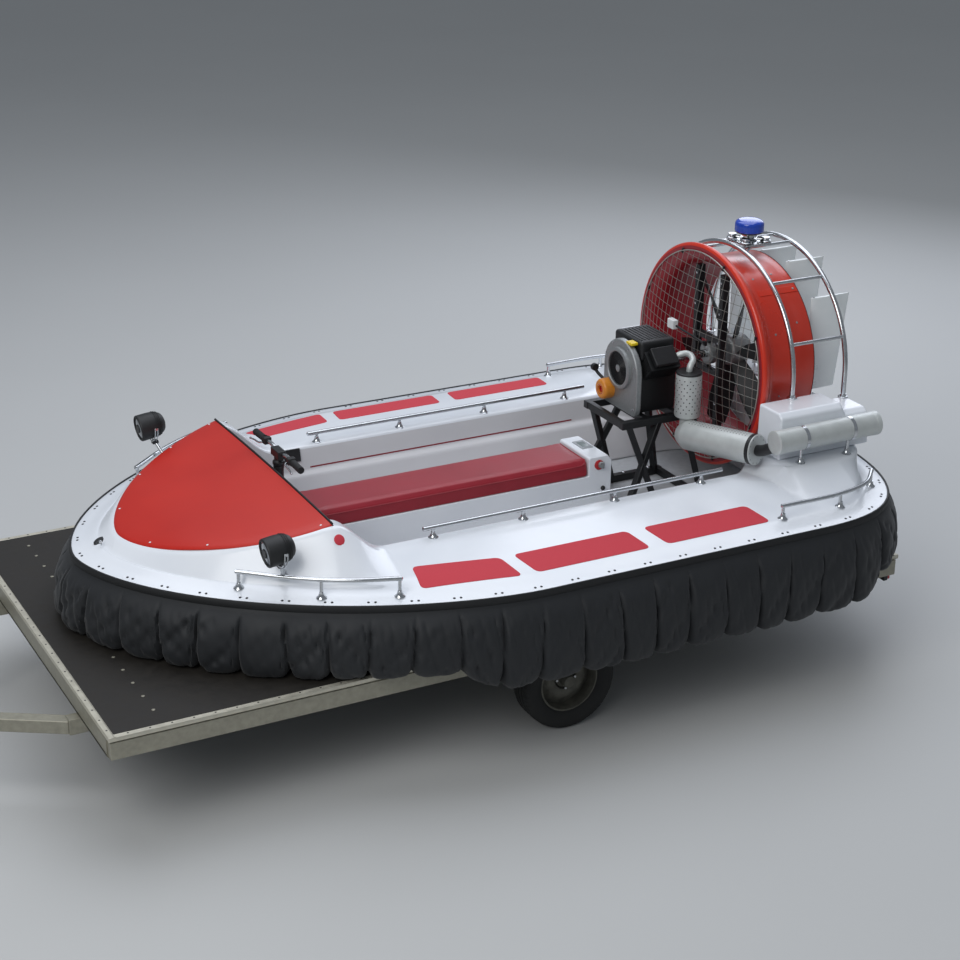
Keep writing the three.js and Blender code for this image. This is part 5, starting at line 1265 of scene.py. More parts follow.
piece("blower_screws", scattered(button(0.006, 0.004, 12), screws, (-1, 0, 0)), STEEL)
piece("filler_cap", block((ENGINE_FRONT + 0.028, -0.09, 1.563), (ENGINE_FRONT + 0.07, -0.035, 1.578)), YELLOW,
      bevel=0.004, segments=3)
lever = spline([(ENGINE_FRONT + 0.03, 0.16, 1.3), (ENGINE_FRONT + 0.01, 0.2, 1.33),
                (ENGINE_FRONT - 0.005, 0.214, 1.36)], 14)
knob = rod(-0.011, 0.011, 0.02, (ENGINE_FRONT - 0.004, 0.214, 1.362), "y", 24)
piece("choke_lever", joined(tube(lever, 0.009, 10), knob), BLACK_PLASTIC, bevel=0.002)
print("screen wires:", len(mesh_wires))

# %% [markdown]
# Behind the blower are the crankcase under a black shroud, finned barrels leaning out to both sides, and the
# orange ring of the air cleaner low in front. Fins are thin plates on a core, as they are on the casting.

# %% Engine: block, barrels and air cleaner
BLOCK_X = ENGINE_FRONT + 0.0604
FINS_A_SIDE, FIN_PITCH, FIN_THICKNESS, LEAN = 9, 0.0125, 0.003, 0.78


def leaning(shape, angle, centre):
    """A shape turned about a line along X and moved to a centre."""
    verts, faces = shape
    c, s = math.cos(angle), math.sin(angle)
    y, z = verts[:, 1], verts[:, 2]
    return np.column_stack([verts[:, 0], y * c - z * s, y * s + z * c]) + centre, faces


crank = block((BLOCK_X, -0.108, TABLE_Z + 0.001), (ENGINE_REAR - 0.001, 0.108, DUCT_Z + 0.068))
shroud = block((BLOCK_X + 0.01, -0.119, DUCT_Z + 0.06), (ENGINE_REAR - 0.021, 0.149, DUCT_Z + 0.1645))
rear_flange = turned([(-0.006, 0), (-0.006, 0.06), (0.014, 0.06), (0.016, 0.056), (0.016, 0)],
                     (ENGINE_REAR, 0, DUCT_Z))
piece("crankcase", joined(crank, rear_flange), BLACK_STEEL, replaces="engine_block", slot="engine_black",
      bevel=0.008, segments=3)
piece("cooling_shroud", shroud, BLACK_PLASTIC, bevel=0.018, segments=4)
rib_xs = BLOCK_X + 0.03 + 0.022 * np.arange(8)
piece("shroud_ribs", joined(*[block((x, -0.085, DUCT_Z + 0.1635), (x + 0.01, 0.115, DUCT_Z + 0.1675))
                              for x in rib_xs]), BLACK_PLASTIC, bevel=0.0015)
fins, heads = [], []
for sign in (-1, 1):
    centre = np.array([(BLOCK_X + ENGINE_REAR) / 2, sign * 0.04, DUCT_Z - 0.04])
    lean = -sign * LEAN
    for low in 0.06 + FIN_PITCH * np.arange(FINS_A_SIDE):
        fins.append(leaning(block((-0.09, -0.062, low), (0.09, 0.062, low + FIN_THICKNESS)), lean, centre))
    heads.append(leaning(block((-0.06, -0.045, 0.02), (0.06, 0.045, 0.172)), lean, centre))
    heads.append(leaning(block((-0.07, -0.052, 0.172), (0.07, 0.052, 0.199)), lean, centre))
piece("barrel_fins", joined(*fins), BLACK_STEEL, bevel=0.0008)
piece("barrel_cores", joined(*heads), BLACK_STEEL, bevel=0.006, segments=3)
CLEANER = np.array([ENGINE_FRONT, 0.095, 1.28])
nose = spline([(-0.0395, 0.021), (-0.0395, 0.043), (-0.034, 0.051), (-0.025, 0.0545), (0.0, 0.055)], 30)
cleaner = np.vstack([nose, [(0.0195, 0.055), (0.0195, 0.0), (-0.02, 0.0), (-0.02, 0.021), (-0.0395, 0.021)]])
piece("air_cleaner_ring", turned(cleaner, CLEANER), ORANGE, replaces="oil_filter", slot="orange_paint")
piece("air_cleaner_bore", turned([(-0.0215, 0), (-0.0215, 0.0205), (-0.0385, 0.0215), (-0.0405, 0.0255),
                                  (-0.0388, 0.03)], CLEANER, segments=48), LENS_RED)
print("fins:", len(fins))

# %% [markdown]
# The exhaust goes from the cylinder head into an upright perforated can, on into a cross silencer lying over
# the coaming and a long tail silencer. The punched holes are black flush discs in rows on the real pitch:
# painted shade for the dark inside each hole.

# %% Exhaust: can and cross silencer
CAN, CAN_R = np.array([1.85, -0.276]), 0.0678
HOLE_ROWS, HOLES_AROUND, FIRST_ROW, ROW_PITCH = 10, 14, 1.238, 0.0195
CROSS_R, RIVET_RING = 0.0795, 0.071
can_profile = [(1.204, 0), (1.204, 0.06), (1.207, 0.066), (1.212, 0.068), (1.436, 0.068), (1.44, 0.0665),
               (1.44, 0)]
piece("exhaust_can_shell", turned(can_profile, (*CAN, 0), "z", 72), SILVER, replaces="exhaust_can",
      slot="silver_paint")
piece("exhaust_can_top", turned([(1.439, 0), (1.439, 0.0685), (1.446, 0.0685), (1.45, 0.064), (1.45, 0)],
                                (*CAN, 0), "z", 64), BLACK_STEEL)
rows = np.arange(HOLE_ROWS)[:, None]
angle = (np.arange(HOLES_AROUND) + 0.5 * (rows % 2)) / HOLES_AROUND * 2 * np.pi
ways = np.stack([np.cos(angle), np.sin(angle), 0 * angle], -1)
axis = np.dstack([CAN[0] + 0 * angle, CAN[1] + 0 * angle, FIRST_ROW + ROW_PITCH * rows + 0 * angle])
spots = ways * CAN_R + axis
ways, spots = ways.reshape(-1, 3), spots.reshape(-1, 3)
# Black discs on the can: painted shade inside its punched holes.
piece("exhaust_can_holes", scattered(button(0.0036, 0.0005, 8), spots, ways), BLACK_RUBBER)
pipe = spline([(1.85, -0.276, 1.446), (1.854, -0.275, 1.474), (1.878, -0.262, 1.5), (1.89, -0.225, 1.513),
               (1.884, -0.192, 1.515), (1.862, -0.18, 1.512), (1.84, -0.165, 1.5)], 48)
piece("exhaust_pipe", tube(pipe, 0.0165, 20), SILVER)
cross_a, cross_b = np.array([1.822, -0.33, 1.122]), np.array([1.9838, -0.722, 1.1468])
cross_way, cross_length = unit(cross_b - cross_a), np.linalg.norm(cross_b - cross_a)


def on_cross(profile):
    """A turned part of the cross silencer, whose profile runs along it from its inner end."""
    return standing(profile, [cross_a], [cross_way], 72, (0, 0, 1))


lid = cross_length - 0.026
barrel = [(-0.05, 0), (-0.05, 0.044), (-0.044, 0.05), (-0.004, 0.077), (0.004, CROSS_R), (lid, CROSS_R),
          (lid, 0)]
band = [(lid - 0.002, 0), (lid - 0.002, CROSS_R + 0.0008), (lid + 0.02, CROSS_R + 0.0008), (lid + 0.02, 0)]
disc = [(lid + 0.019, 0), (lid + 0.019, 0.08), (lid + 0.025, 0.08), (lid + 0.026, 0.078), (lid + 0.027, 0.07),
        (lid + 0.029, 0)]
piece("cross_silencer", on_cross(barrel), SILVER, replaces="silencer_cross", slot="silver_paint")
piece("cross_silencer_band", on_cross(band), BLACK_STEEL)
piece("cross_silencer_end", on_cross(disc), SILVER)
side_a = unit(np.cross((0, 0, 1), cross_way))
side_b = np.cross(cross_way, side_a)
round_it = np.radians(np.arange(0, 360, 30))[:, None]
rivets = cross_b + RIVET_RING * (np.cos(round_it) * side_a + np.sin(round_it) * side_b)
piece("cross_silencer_rivets", scattered(button(0.004, 0.003), rivets, cross_way), CAST)
holes = np.array([(along, np.radians(turn)) for along in np.arange(0.03, cross_length - 0.05, 0.018)
                  for turn in (50, 62, 74, 86, 98, 110)])
hole_ways = np.cos(holes[:, 1:]) * side_a + np.sin(holes[:, 1:]) * side_b
hole_at = cross_a + holes[:, :1] * cross_way + hole_ways * (CROSS_R - 0.0003)
# Black discs on the cross silencer: painted shade inside its punched holes.
piece("cross_silencer_holes", scattered(button(0.0028, 0.0005, 8), hole_at, hole_ways), BLACK_RUBBER)
piece("exhaust_neck", tube([(*CAN, 1.125), (*CAN, 1.204)], 0.038, 32, hint=(1, 0, 0)), SILVER)
print("holes punched:", len(spots) + len(holes))

# %% Exhaust: tail silencer
TAIL_Y, TAIL_R, STAND_XS = -0.87, 0.062, (2.15, 2.44)
tail_a, tail_b = np.array([1.978, TAIL_Y, 1.236]), np.array([2.615, TAIL_Y, 1.24])
tail_way, tail_length = unit(tail_b - tail_a), np.linalg.norm(tail_b - tail_a)
rolled = [(0.0, 0.0), (0.0, TAIL_R - 0.018), (0.001, TAIL_R - 0.004), (0.004, TAIL_R - 0.0002),
          (0.03, TAIL_R - 0.0002), (0.031, TAIL_R - 0.001)]
tail = rolled + [(tail_length - along, r) for along, r in rolled[::-1]]
piece("tail_silencer", standing(tail, [tail_a], [tail_way], 80, (0, 0, 1)), SILVER, replaces="silencer_tail",
      slot="silver_paint")
link = [(1.984, -0.73, 1.1465), (1.99, -0.77, 1.16), (2.01, -0.815, 1.188), (2.034, -0.854, 1.219)]
piece("silencer_link", tube(spline(link, 20), 0.029, 28), BLACK_STEEL)
stand_at, _ = settle([(x, TAIL_Y) for x in STAND_XS], top=1.15)
stands = [tube([p, (p[0], p[1], 1.182)], 0.008, 12, hint=(1, 0, 0)) for p in stand_at]
low_r, high_r = TAIL_R - 0.001, TAIL_R + 0.0012
straps = [standing([(-0.01, low_r), (-0.01, high_r), (0.01, high_r), (0.01, low_r)],
                   [lerp(tail_a, tail_b, (x - tail_a[0]) / tail_length)], [tail_way], 80, (0, 0, 1))
          for x in STAND_XS]
piece("silencer_stands", joined(*stands, *straps, scattered(FOOT, stand_at, (0, 0, 1))), STEEL)
print("stands:", len(stands))

# %% [markdown]
# A welded frame of square tube carries the engine: two base rails, crossed legs at each side and a table.
# The tubes are plain beams with a small corner radius, as rolled section has.

# %% Engine frame
FRAME_Y, TABLE_SHARE, RAIL, LEG = 0.24, 0.75, 0.0396, 0.033
LEGS_X = ((1.51, 1.74), (1.72, 1.55), (2.0, 1.89))  # each leg's foot and head
floor_z, top_z = HULL_BOTTOM_Z + 0.0204, TABLE_Z - 0.02
legs = []
for y in (-FRAME_Y, FRAME_Y):
    inner_y = y * TABLE_SHARE
    legs.append(beam((1.48, y, floor_z), (2.04, y, floor_z), RAIL))
    legs.append(beam((1.505, inner_y, top_z), (1.93, inner_y, top_z), RAIL))
    legs += [beam((foot_x, y, floor_z), (head_x, inner_y, top_z), LEG) for foot_x, head_x in LEGS_X]
legs += [beam((x, -0.236, floor_z), (x, 0.236, floor_z), 0.036) for x in (1.5, 2.02)]
legs += [block((x - 0.016, -0.176, top_z - 0.0196), (x + 0.016, 0.176, top_z + 0.0196))
         for x in (1.525, 1.67, 1.86)]
piece("engine_stand", joined(*legs), BLACK_STEEL, replaces="engine_frame", slot="black_steel", bevel=0.004,
      segments=3)
bolt_spots = [(x, s * FRAME_Y, floor_z + 0.0195) for x in (1.56, 1.8, 1.96) for s in (-1, 1)]
piece("stand_bolts", bolt_heads(0.011, 0.009, bolt_spots, (0, 0, 1), across=0.003), STEEL)
print("frame bars:", len(legs))

# %% [markdown]
# The cockpit floor is a sandwich panel with raised grip strips, painted grey; it also closes the hull below.

# %% Cockpit floor
FLOOR_LOW, STRIP_Y, STRIP_HALF, STRIP_PITCH = 0.5961, 0.34, 0.09, 0.045
floor_ring = inset_ring(0.2325, 0)[::4, :2]
piece("floor_panel", prism(floor_ring, FLOOR_LOW, HULL_BOTTOM_Z - 0.0006, "z"), FLOOR_MAT,
      replaces="hull_bottom", slot="floor_panel", bevel=0.002)
strips = [block((x, side * STRIP_Y - STRIP_HALF, HULL_BOTTOM_Z - 0.002),
                (x + 0.012, side * STRIP_Y + STRIP_HALF, HULL_BOTTOM_Z + 0.0015))
          for x in np.arange(-0.2, 1.42, STRIP_PITCH) for side in (-1, 1)]
piece("floor_strips", joined(*strips), FLOOR_MAT, bevel=0.001)
print("grip strips:", len(strips))

# %% [markdown]
# The cockpit wall below the coaming's edge is pale grey: painted shade on the hull's white gelcoat. A thin
# tape line lies on it as a band of ray-cast points, so it follows the moulding; a small black wedge hangs
# from the coaming's inner face, and a round red marker sits on each side behind the cover.

# %% Cockpit wall and side markers
# Wall: the hull's white gelcoat painted grey as the shade inside the cockpit, less glossy where boots rub it.
WALL_SHADE_GREY = mottled("white gelcoat with painted shade", "#C2C2C5", "#D2D2D4", 350, (0.35, 0.5), 0.2, 40)
hull.data.materials.append(WALL_SHADE_GREY)
middles = read_array(hull.data.polygons, "center")
# Faces inside the cockpit opening take the grey: painted shade on the wall.
inside = np.abs(middles[:, 1]) < opening_half(middles[:, 0]) - 0.003
inside &= (middles[:, 2] < coaming_z(middles[:, 0]) - 0.02) & (middles[:, 2] > HULL_BOTTOM_Z + 0.004)
hull.data.polygons.foreach_set("material_index", inside.astype(np.int32))


def wall_band(x0, x1, z0, z1, sign, thickness, count=60):
    """A strip on one cockpit wall: rays go out level from the middle line, and the hits are lifted."""
    rows = []
    for z, lift in ((z0, -0.001), (z0, thickness), ((z0 + z1) / 2, thickness), (z1, thickness), (z1, -0.001)):
        cast = [hit((x, 0, z), (0, sign, 0)) for x in np.linspace(x0, x1, count)]
        rows.append([p + n * lift for p, n in cast])
    return loft(np.stack(rows, 1))


for side, sign in SIDES:
    piece(f"wall_line_{side}", wall_band(0.1, 1.69, 0.895, 0.902, sign, 0.0008), STRIPE_RED)
wedge = [(0.6605, 1.0045), (0.642, 0.938), (0.6305, 0.941), (0.648, 1.009)]
piece("wall_panel", prism(wedge, -0.04, 0.05, "x"), BLACK_PLASTIC, bevel=0.003)
marker = [(-0.001, 0), (-0.001, 0.026), (0.001, 0.026), (0.002, 0.024), (0.002, 0)]
piece("side_markers", standing(marker, *settle([(-0.366, -0.8), (-0.366, 0.8)]), 36), PAD_RED)
bed = frame["nodes"]["duct_bed"]
bed.data.materials.clear()
bed.data.materials.append(WHITE_GEL)
print("wall faces:", int(inside.sum()))

# %% [markdown]
# The trailer is a flat deck: phenolic plywood in an aluminium edge, on a galvanised frame. A row of coach
# bolts crosses the deck ahead of the craft. The pieces are rolled sections, so beams with worn edges do.

# %% Trailer deck
DECK_TOP, DECK_FRONT, DECK_REAR, DECK_HALF, TRIM = 0.5955, -1.59, 2.633, 1.122, 0.028
PLY_LOW, TRIM_LOW, TRIM_TOP, FIT = 0.5774, 0.5724, DECK_TOP - 0.0005, TRIM + 0.0004
# Plywood: a brown-black resin film with the print of a mesh.
PLY = mottled("dark phenolic plywood", "#161412", "#29251F", 60, (0.5, 0.75), 0.35, 3.5)
board = block((DECK_FRONT + FIT, -DECK_HALF + FIT, PLY_LOW), (DECK_REAR - FIT, DECK_HALF - FIT, DECK_TOP))
piece("deck_plywood", board, PLY, replaces="deck_board", slot="plywood", bevel=0.0015)
bars = [block((x, -DECK_HALF, TRIM_LOW), (x + TRIM, DECK_HALF, TRIM_TOP))
        for x in (DECK_FRONT, DECK_REAR - TRIM)]
bars += [block((DECK_FRONT + TRIM, y, TRIM_LOW), (DECK_REAR - TRIM, y + TRIM, TRIM_TOP))
         for y in (-DECK_HALF, DECK_HALF - TRIM)]
piece("deck_edge", joined(*bars), ALLOY_TRIM, replaces="deck_trim", slot="zinc", bevel=0.003, segments=3)
across = [(-1.337, y, DECK_TOP) for y in np.linspace(-0.967, 0.967, 15)]
piece("deck_bolts", scattered(button(0.0085, 0.0035, 14), across, (0, 0, 1)), ZINC)
along = [(DECK_FRONT + TRIM / 2, y, TRIM_TOP) for y in np.linspace(-1.05, 1.05, 22)]
along += [(x, s * (DECK_HALF - TRIM / 2), TRIM_TOP) for x in np.linspace(-1.5, 2.58, 42) for s in (-1, 1)]
piece("trim_screws", scattered(button(0.0045, 0.0012), along, (0, 0, 1)), BLACK_STEEL)
FRAME_LOW, FRAME_HIGH, SIDE_Y, BAR_WIDE, LET_IN = 0.48, 0.565, DECK_HALF - 0.007, 0.05, 0.007
frame_bars = [block((DECK_FRONT + LET_IN, y, FRAME_LOW), (DECK_REAR - LET_IN, y + BAR_WIDE, FRAME_HIGH))
              for y in (-SIDE_Y, SIDE_Y - BAR_WIDE)]
# Cross bars: the front edge of each, and its lower and upper face.
cross_bars = [(x, FRAME_LOW, FRAME_HIGH) for x in (DECK_FRONT + LET_IN, DECK_REAR - LET_IN - BAR_WIDE)]
cross_bars += [(x - BAR_WIDE / 2, FRAME_HIGH - 0.03, 0.577) for x in (-0.9, -0.25, 0.42, 1.08, 1.85)]
frame_bars += [block((x, -SIDE_Y + BAR_WIDE, z0), (x + BAR_WIDE, SIDE_Y - BAR_WIDE, z1))
               for x, z0, z1 in cross_bars]
piece("deck_chassis", joined(*frame_bars), ZINC, replaces="deck_frame", slot="zinc", bevel=0.004, segments=3)
print("bolts:", len(across) + len(along))

# %% [markdown]
# Under the deck two rails run forward and meet at a ball coupling, as on any small trailer. The axle is one
# straight tube on hangers; a light trailer's rubber suspension is inside it and doesn't show.

# %% Drawbar, coupling and axle
BEAM_Y, BAR_TOP = 0.66, FRAME_LOW - 0.0004
BAR_MIDDLE = BAR_TOP - 0.04
drawbar = []
for s in (-1, 1):
    drawbar.append(block((-1.64, s * BEAM_Y - 0.03, BAR_MIDDLE - 0.04),
                         (1.25, s * BEAM_Y + 0.03, BAR_MIDDLE + 0.04)))
    drawbar.append(beam((-1.625, s * BEAM_Y, BAR_MIDDLE), (-2.6, s * 0.066, BAR_MIDDLE), 0.066))
drawbar.append(block((-2.64, -0.1, BAR_MIDDLE - 0.036), (-2.56, 0.1, BAR_MIDDLE + 0.036)))
drawbar.append(block((-2.3, -0.215, BAR_MIDDLE - 0.025), (-2.25, 0.215, BAR_MIDDLE + 0.025)))
piece("drawbar_beams", joined(*drawbar), ZINC, replaces="drawbar", slot="zinc", bevel=0.006, segments=3)
heads = [(x + dx, s * BEAM_Y + dy * s, BAR_MIDDLE - 0.04) for x in (-0.9, 0.42) for dx in (-0.02, 0.02)
         for s in (-1, 1) for dy in (-0.018, 0.018)]
piece("drawbar_bolts", bolt_heads(0.009, 0.008, heads, (0, 0, -1)), STEEL)
cup = [(0.0, 0.036), (0.02, 0.0405), (0.045, 0.0415), (0.062, 0.0395), (0.07, 0.031), (0.072, 0.0)]
socket = turned(np.vstack([[(0.0, 0.0)], spline(cup, 26)]), (-2.797, 0, 0.402), "z", 40)
housing = prism([(-2.79, 0.424), (-2.64, 0.422), (-2.64, 0.47), (-2.74, 0.47), (-2.79, 0.462)], -0.03, 0.03)
piece("coupling_body", joined(socket, housing), ZINC, replaces="coupling", slot="zinc", bevel=0.003,
      segments=3)
handle = spline([(-2.75, 0, 0.47), (-2.735, 0, 0.492), (-2.7, 0, 0.503), (-2.665, 0, 0.509)], 16)
piece("coupling_handle", tube(handle, 0.0085, 14, hint=(0, 1, 0)), BLACK_PLASTIC)
AXLE_X, WHEEL_Y, TYRE_R, AXLE_HALF = 0.75, 0.945, 0.25, 0.853
AXLE = (AXLE_X, 0, TYRE_R)
stub = np.array([(0.849, 0), (0.849, 0.023), (0.968, 0.023), (0.969, 0.02), (0.969, 0)])
stubs = [turned(stub[::-1] * [-1, 1], AXLE, "y", 32), turned(stub, AXLE, "y", 32)]
piece("axle_tube", joined(rod(-AXLE_HALF, AXLE_HALF, 0.034, AXLE, "y", 32), *stubs), ZINC,
      replaces="axle", slot="zinc")
hangers = [block((AXLE_X - 0.07, s * BEAM_Y - 0.029, TYRE_R - 0.02),
                 (AXLE_X + 0.07, s * BEAM_Y + 0.029, BAR_TOP - 0.0805)) for s in (-1, 1)]
piece("axle_hangers", joined(*hangers), ZINC, bevel=0.006, segments=3)
print("axle at", AXLE_X, TYRE_R)

# %% [markdown]
# Wheels: a tyre with three ribs and a sipe at each shoulder, on a pressed steel wheel with slots. The tyre is
# turned finely enough that the shoulder radius can drop at every sipe; the slots are cut by a boolean.

# %% Road wheels
SIPES, SIPE_DEPTH, SLOTS, SLOT_RING, NUT_RING, NUTS = 60, 0.003, 12, 0.112, 0.05, 4
half_tread = [(-0.055, 0.2482), (-0.034, 0.2494), (-0.0325, 0.243), (-0.0275, 0.243), (-0.026, 0.2497),
              (-0.004, 0.2499), (-0.0028, 0.243)]
ribs = half_tread + [(-y, r) for y, r in half_tread[::-1]]
shoulder = spline([(-0.0605, 0.1585), (-0.069, 0.168), (-0.079, 0.188), (-0.0824, 0.207), (-0.079, 0.2275),
                   (-0.0695, 0.2415), (-0.056, 0.248)], 26)
tyre_profile = np.vstack([shoulder, ribs, shoulder[::-1] * [-1, 1], [(0.055, 0.1525), (-0.055, 0.1525)]])
tyre_y, tyre_level = tyre_profile.T
spin = np.linspace(0, 2 * np.pi, 8 * SIPES, endpoint=False)[:, None]
sipe = (np.cos(spin * SIPES) > 0.72) * ((np.abs(tyre_y) > 0.045) & (tyre_level > 0.236))
tyre_r = tyre_level - SIPE_DEPTH * sipe
tyre = np.stack([tyre_r * np.cos(spin), tyre_y + 0 * tyre_r, tyre_r * np.sin(spin)], -1)
disc_profile = [(-0.008, 0.05), (0.018, 0.058), (0.026, 0.075), (0.022, 0.1), (0.0, 0.128), (-0.006, 0.144),
                (-0.0105, 0.144), (-0.005, 0.126), (0.0165, 0.0985), (0.0205, 0.076), (0.013, 0.062),
                (-0.0125, 0.054), (-0.008, 0.05)]
barrel_profile = [(-0.0594, 0.149), (-0.0594, 0.157), (-0.057, 0.1585), (-0.052, 0.152), (-0.04, 0.148),
                  (0.04, 0.148), (0.052, 0.152), (0.057, 0.1585), (0.0594, 0.157), (0.0594, 0.149),
                  (0.05, 0.1465), (0.038, 0.1435), (-0.038, 0.1435), (-0.05, 0.1465), (-0.0594, 0.149)]
hub_profile = [(-0.0125, 0), (-0.0125, 0.049), (0.012, 0.049), (0.016, 0.044), (0.02, 0.034), (0.058, 0.033),
               (0.065, 0.029), (0.066, 0.0)]


def round_axle(count, radius, centre):
    """Places on a circle round the axle."""
    a = np.linspace(0, 2 * np.pi, count, endpoint=False)
    return centre + radius * np.column_stack([np.cos(a), 0 * a, np.sin(a)])


for side, sign in SIDES:
    at = np.array([AXLE_X, sign * WHEEL_Y, TYRE_R])
    body = f"wheel_{side}"
    piece(f"tyre_tread_{side}", grid(tyre + at, wrap_u=True, wrap_v=True), TYRE_RUBBER, body=body,
          replaces=f"tyre_{side}", slot="tyre_rubber")
    piece(f"rim_barrel_{side}", turned(barrel_profile, at, "y", 96), DIRTY_RIM, body=body,
          replaces=f"wheel_rim_{side}", slot="zinc")
    disc = piece(f"rim_disc_{side}", turned(np.array(disc_profile) * [sign, 1], at, "y", 96), DIRTY_RIM,
                 body=body)
    slots = [rod(-0.04, 0.04, 0.0125, spot, "y", 20) for spot in round_axle(SLOTS, SLOT_RING, at)]
    cutter = placed("cutter", mesh_of("cutter", joined(*slots)))
    boolean = disc.modifiers.new("slots", "BOOLEAN")
    boolean.operation, boolean.solver, boolean.object = "DIFFERENCE", "EXACT", cutter
    finished(disc)
    bpy.data.objects.remove(cutter)
    piece(f"wheel_hub_{side}", turned(np.array(hub_profile) * [sign, 1], at, "y", 48), DIRTY_RIM, body=body)
    nuts = round_axle(NUTS, NUT_RING, at + [0, sign * 0.012, 0])
    piece(f"wheel_nuts_{side}", bolt_heads(0.0095, 0.015, nuts, (0, sign, 0), 0.0025, 0.003), STEEL,
          body=body)
print("tyre faces:", tyre_r.size)

# %% [markdown]
# At the front a jockey wheel on a screw leg keeps the drawbar level. It doesn't show in the photo, so it
# follows the usual pattern of light road trailers: a clamped tube with a crank above, a fork and a wheel.

# %% Jockey wheel
JOCKEY_X, JOCKEY_Y, JOCKEY_R, CRANK_Y = -2.33, -0.034, 0.1, -0.145
JOCKEY = (JOCKEY_X, JOCKEY_Y, 0)
HUB = (JOCKEY_X, JOCKEY_Y, JOCKEY_R)
leg = turned([(0.3003, 0), (0.3003, 0.024), (0.304, 0.026), (0.8, 0.026), (0.802, 0.031), (0.834, 0.032),
              (0.836, 0.028), (0.836, 0)], JOCKEY, "z", 40)
crank_line = spline([(JOCKEY_X, JOCKEY_Y, 0.818), (JOCKEY_X, -0.1, 0.82), (JOCKEY_X, -0.14, 0.822),
                     (JOCKEY_X, CRANK_Y, 0.84), (JOCKEY_X, CRANK_Y, 0.852)], 24)
piece("jockey_tube", joined(leg, tube(crank_line, 0.007, 14, hint=(1, 0, 0))), ZINC, replaces="jockey_leg",
      slot="zinc")
collar = block((JOCKEY_X - 0.034, -0.07, BAR_TOP - 0.06), (JOCKEY_X + 0.0296, 0.002, BAR_TOP - 0.02))
piece("jockey_collar", collar, ZINC, bevel=0.006, segments=3)
grip = [(0.838, 0), (0.838, 0.009), (0.842, 0.0105), (0.875, 0.0105), (0.879, 0.008), (0.88, 0)]
piece("jockey_crank_grip", turned(grip, (JOCKEY_X, CRANK_Y, 0), "z", 24), BLACK_PLASTIC)
fork = [turned([(0.2165, 0), (0.2165, 0.02), (0.2985, 0.02), (0.2992, 0.018), (0.2992, 0)], JOCKEY, "z", 32),
        block((JOCKEY_X - 0.03, JOCKEY_Y - 0.042, 0.2125), (JOCKEY_X + 0.03, JOCKEY_Y + 0.042, 0.2215))]
for s in (-1, 1):
    plate_y = JOCKEY_Y + s * 0.0362
    fork.append(block((JOCKEY_X - 0.022, plate_y - 0.0036, 0.084),
                      (JOCKEY_X + 0.022, plate_y + 0.0036, 0.218)))
fork += [rod(-0.046, -0.04, 0.009, HUB, "y", 6), rod(0.04, 0.046, 0.009, HUB, "y", 6)]
piece("jockey_fork_plates", joined(*fork), ZINC, body="jockey_fork", replaces="jockey_fork", slot="zinc",
      bevel=0.0015)
half_tyre = [(-0.0315, 0), (-0.0315, 0.03), (-0.024, 0.034), (-0.02, 0.068), (-0.028, 0.074), (-0.0275, 0.09),
             (-0.016, 0.0985)]
solid_tyre = half_tyre + [(0, JOCKEY_R)] + [(-y, r) for y, r in half_tyre[::-1]]
piece("jockey_tyre", turned(solid_tyre, HUB, "y"), TYRE_RUBBER, body="jockey_wheel", replaces="jockey_wheel",
      slot="rubber")
print("jockey at", JOCKEY_X)

# %% [markdown]
# At the rear a bar carries the lamps and a blank board, also by the usual pattern. Each lamp is a black case
# with a red lens for tail and brake light and an amber one for turning.

# %% Lamp bar
LAMP_AT, BRACKET_AT = 0.9, 0.6
# Amber: the same clear skin as the red lenses.
AMBER = mottled("amber lamp acrylic", "#B85A08", "#D8761A", 6, (0.1, 0.25), Coat_Weight=0.6)


def across_rear(name, reach, xs, zs, at, material, **look):
    """Boxes behind the deck at each place across. Their reach is measured from that place, and their spans
    along the craft from the deck's rear edge."""
    boxes = [block((DECK_REAR + x0, y + reach[0], z0), (DECK_REAR + x1, y + reach[1], z1))
             for y in at for (x0, x1), (z0, z1) in zip(xs, zs)]
    piece(name, joined(*boxes), material, **look)


lamps, centre = (-LAMP_AT, LAMP_AT), (0,)
LENS_X, LENS_Z, SOFT = [(0.038, 0.0565)], [(0.396, 0.486)], {"bevel": 0.004, "segments": 3}
across_rear("lamp_rail", (-1.02, 1.02), [(-0.005, 0.014)], [(0.43, 0.478)], centre, BLACK_STEEL,
            replaces="lamp_bar", slot="black_plastic", bevel=0.002)
across_rear("lamp_brackets", (-0.02, 0.02), [(-0.045, -0.02), (-0.045, -0.004)],
            [(0.44, BAR_TOP), (0.44, 0.462)], (-BRACKET_AT, BRACKET_AT), ZINC, bevel=0.002)
across_rear("lamp_cases", (-0.11, 0.11), [(0.013, 0.04)], [(0.392, 0.49)], lamps, BLACK_PLASTIC, **SOFT)
across_rear("lamp_red_lenses", (-0.106, 0.035), LENS_X, LENS_Z, lamps, LENS_RED, **SOFT)
across_rear("lamp_amber_lenses", (0.039, 0.106), LENS_X, LENS_Z, lamps, AMBER, **SOFT)
across_rear("blank_board", (-0.26, 0.26), [(0.0122, 0.018)], [(0.372, 0.484)], centre, BLACK_PLASTIC,
            bevel=0.0015)
print("lamp units:", len(lamps))

# %% [markdown]
# The camera stands where the photo was taken: a raised place ahead and to port, looking down a little. The
# floor is plain and pale, and broad soft lights stand in for an overcast sky.

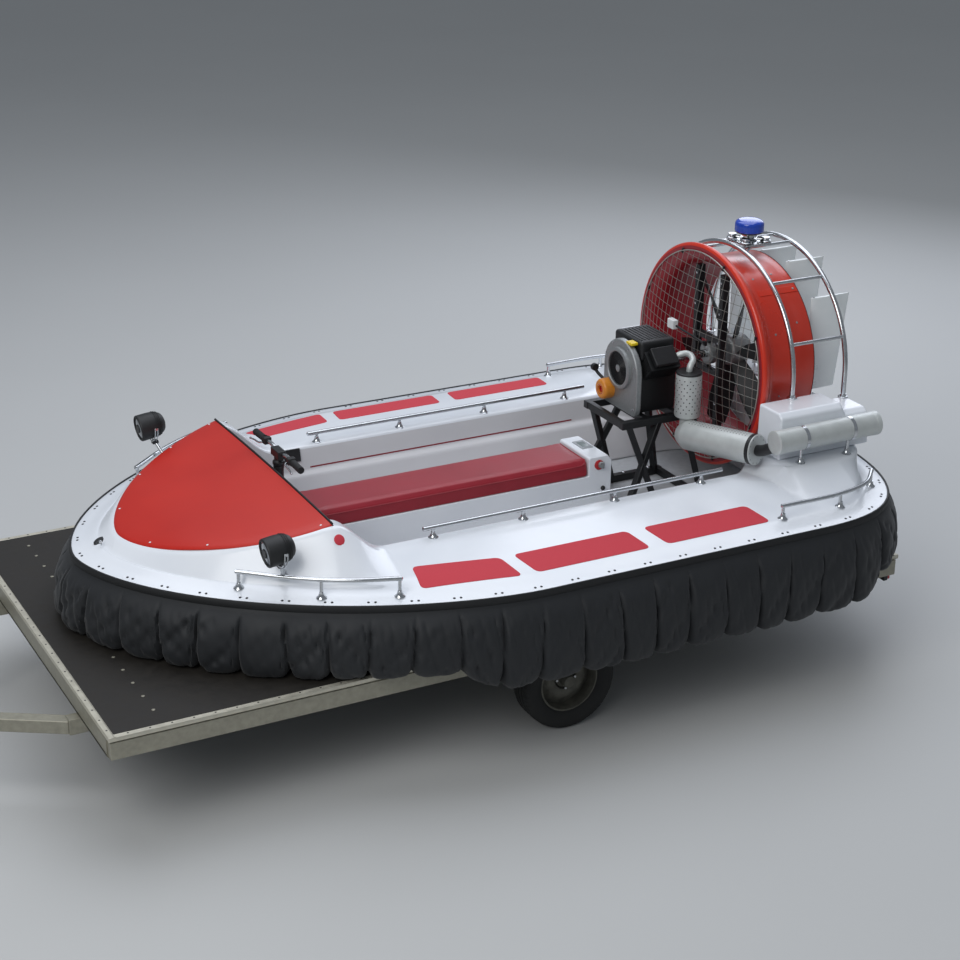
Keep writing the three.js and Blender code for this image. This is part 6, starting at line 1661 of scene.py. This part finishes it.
# %% Camera, floor and light
YAW, PITCH_DOWN, ROLL = -0.488288243, 0.392558216, 0.0113767173
EYE, FOCAL_MM, SENSOR_MM = (-3.69528533, -8.42107272, 4.88252913), 75.1285, 36.0
FLOOR_HALF, FLOOR_Z = 60, -0.001
LIT_POINT = (0.3, 0, 0.9)
ahead = np.array([-math.sin(YAW) * math.cos(PITCH_DOWN), math.cos(YAW) * math.cos(PITCH_DOWN),
                  -math.sin(PITCH_DOWN)])
right = np.array([math.cos(YAW), math.sin(YAW), 0.0])
up = np.cross(right, ahead)
view = np.eye(4)
view[:3, 0] = right * math.cos(ROLL) + up * math.sin(ROLL)
view[:3, 1] = up * math.cos(ROLL) - right * math.sin(ROLL)
view[:3, 2] = -ahead
view[:3, 3] = EYE
lens = bpy.data.cameras.new("photo camera")
lens.sensor_width, lens.lens = SENSOR_MM, FOCAL_MM
camera = placed("photo camera", lens)
camera.matrix_world = Matrix(view.tolist())
bpy.context.scene.camera = camera

corners = np.array([(-1, -1, 0), (1, -1, 0), (1, 1, 0), (-1, 1, 0)]) * FLOOR_HALF + [0, 0, FLOOR_Z]
floor = placed("studio floor", mesh_of("studio floor", (corners, [(0, 1, 2, 3)])))
floor.data.materials.append(mottled("pale studio floor", "#BDBEBD", "#C3C4C3", 2500, (0.85, 0.9)))


def soft_light(name, place, size, power, colour):
    """A square area light that looks at the middle of the outfit."""
    data = bpy.data.lights.new(name, "AREA")
    data.size, data.energy, data.color = size, power, linear(colour)[:3]
    lamp = placed(name, data)
    lamp.location = place
    lamp.rotation_euler = (Vector(LIT_POINT) - Vector(place)).to_track_quat("-Z", "Y").to_euler()


soft_light("sky ahead", (-6.0, -5.0, 7.5), 6.0, 470, "#FFFFFF")
soft_light("sky above", (1.5, 2.0, 9.0), 9.0, 480, "#F2F6FF")
soft_light("sky behind", (7.0, 5.0, 5.0), 5.0, 170, "#EEF3FF")
world = bpy.data.worlds.new("overcast")
world.use_nodes = True
sky = world.node_tree.nodes["Background"].inputs
sky["Color"].default_value = linear("#DCE4EE")
sky["Strength"].default_value = 0.3
bpy.context.scene.world = world
bpy.context.scene.view_settings.view_transform = "Standard"
print("camera at", EYE)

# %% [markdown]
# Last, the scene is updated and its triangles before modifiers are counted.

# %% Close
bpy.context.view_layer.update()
meshes = [made.data for made in bpy.data.objects if made.type == "MESH"]
print("triangles before modifiers:", sum(len(f.vertices) - 2 for mesh in meshes for f in mesh.polygons))
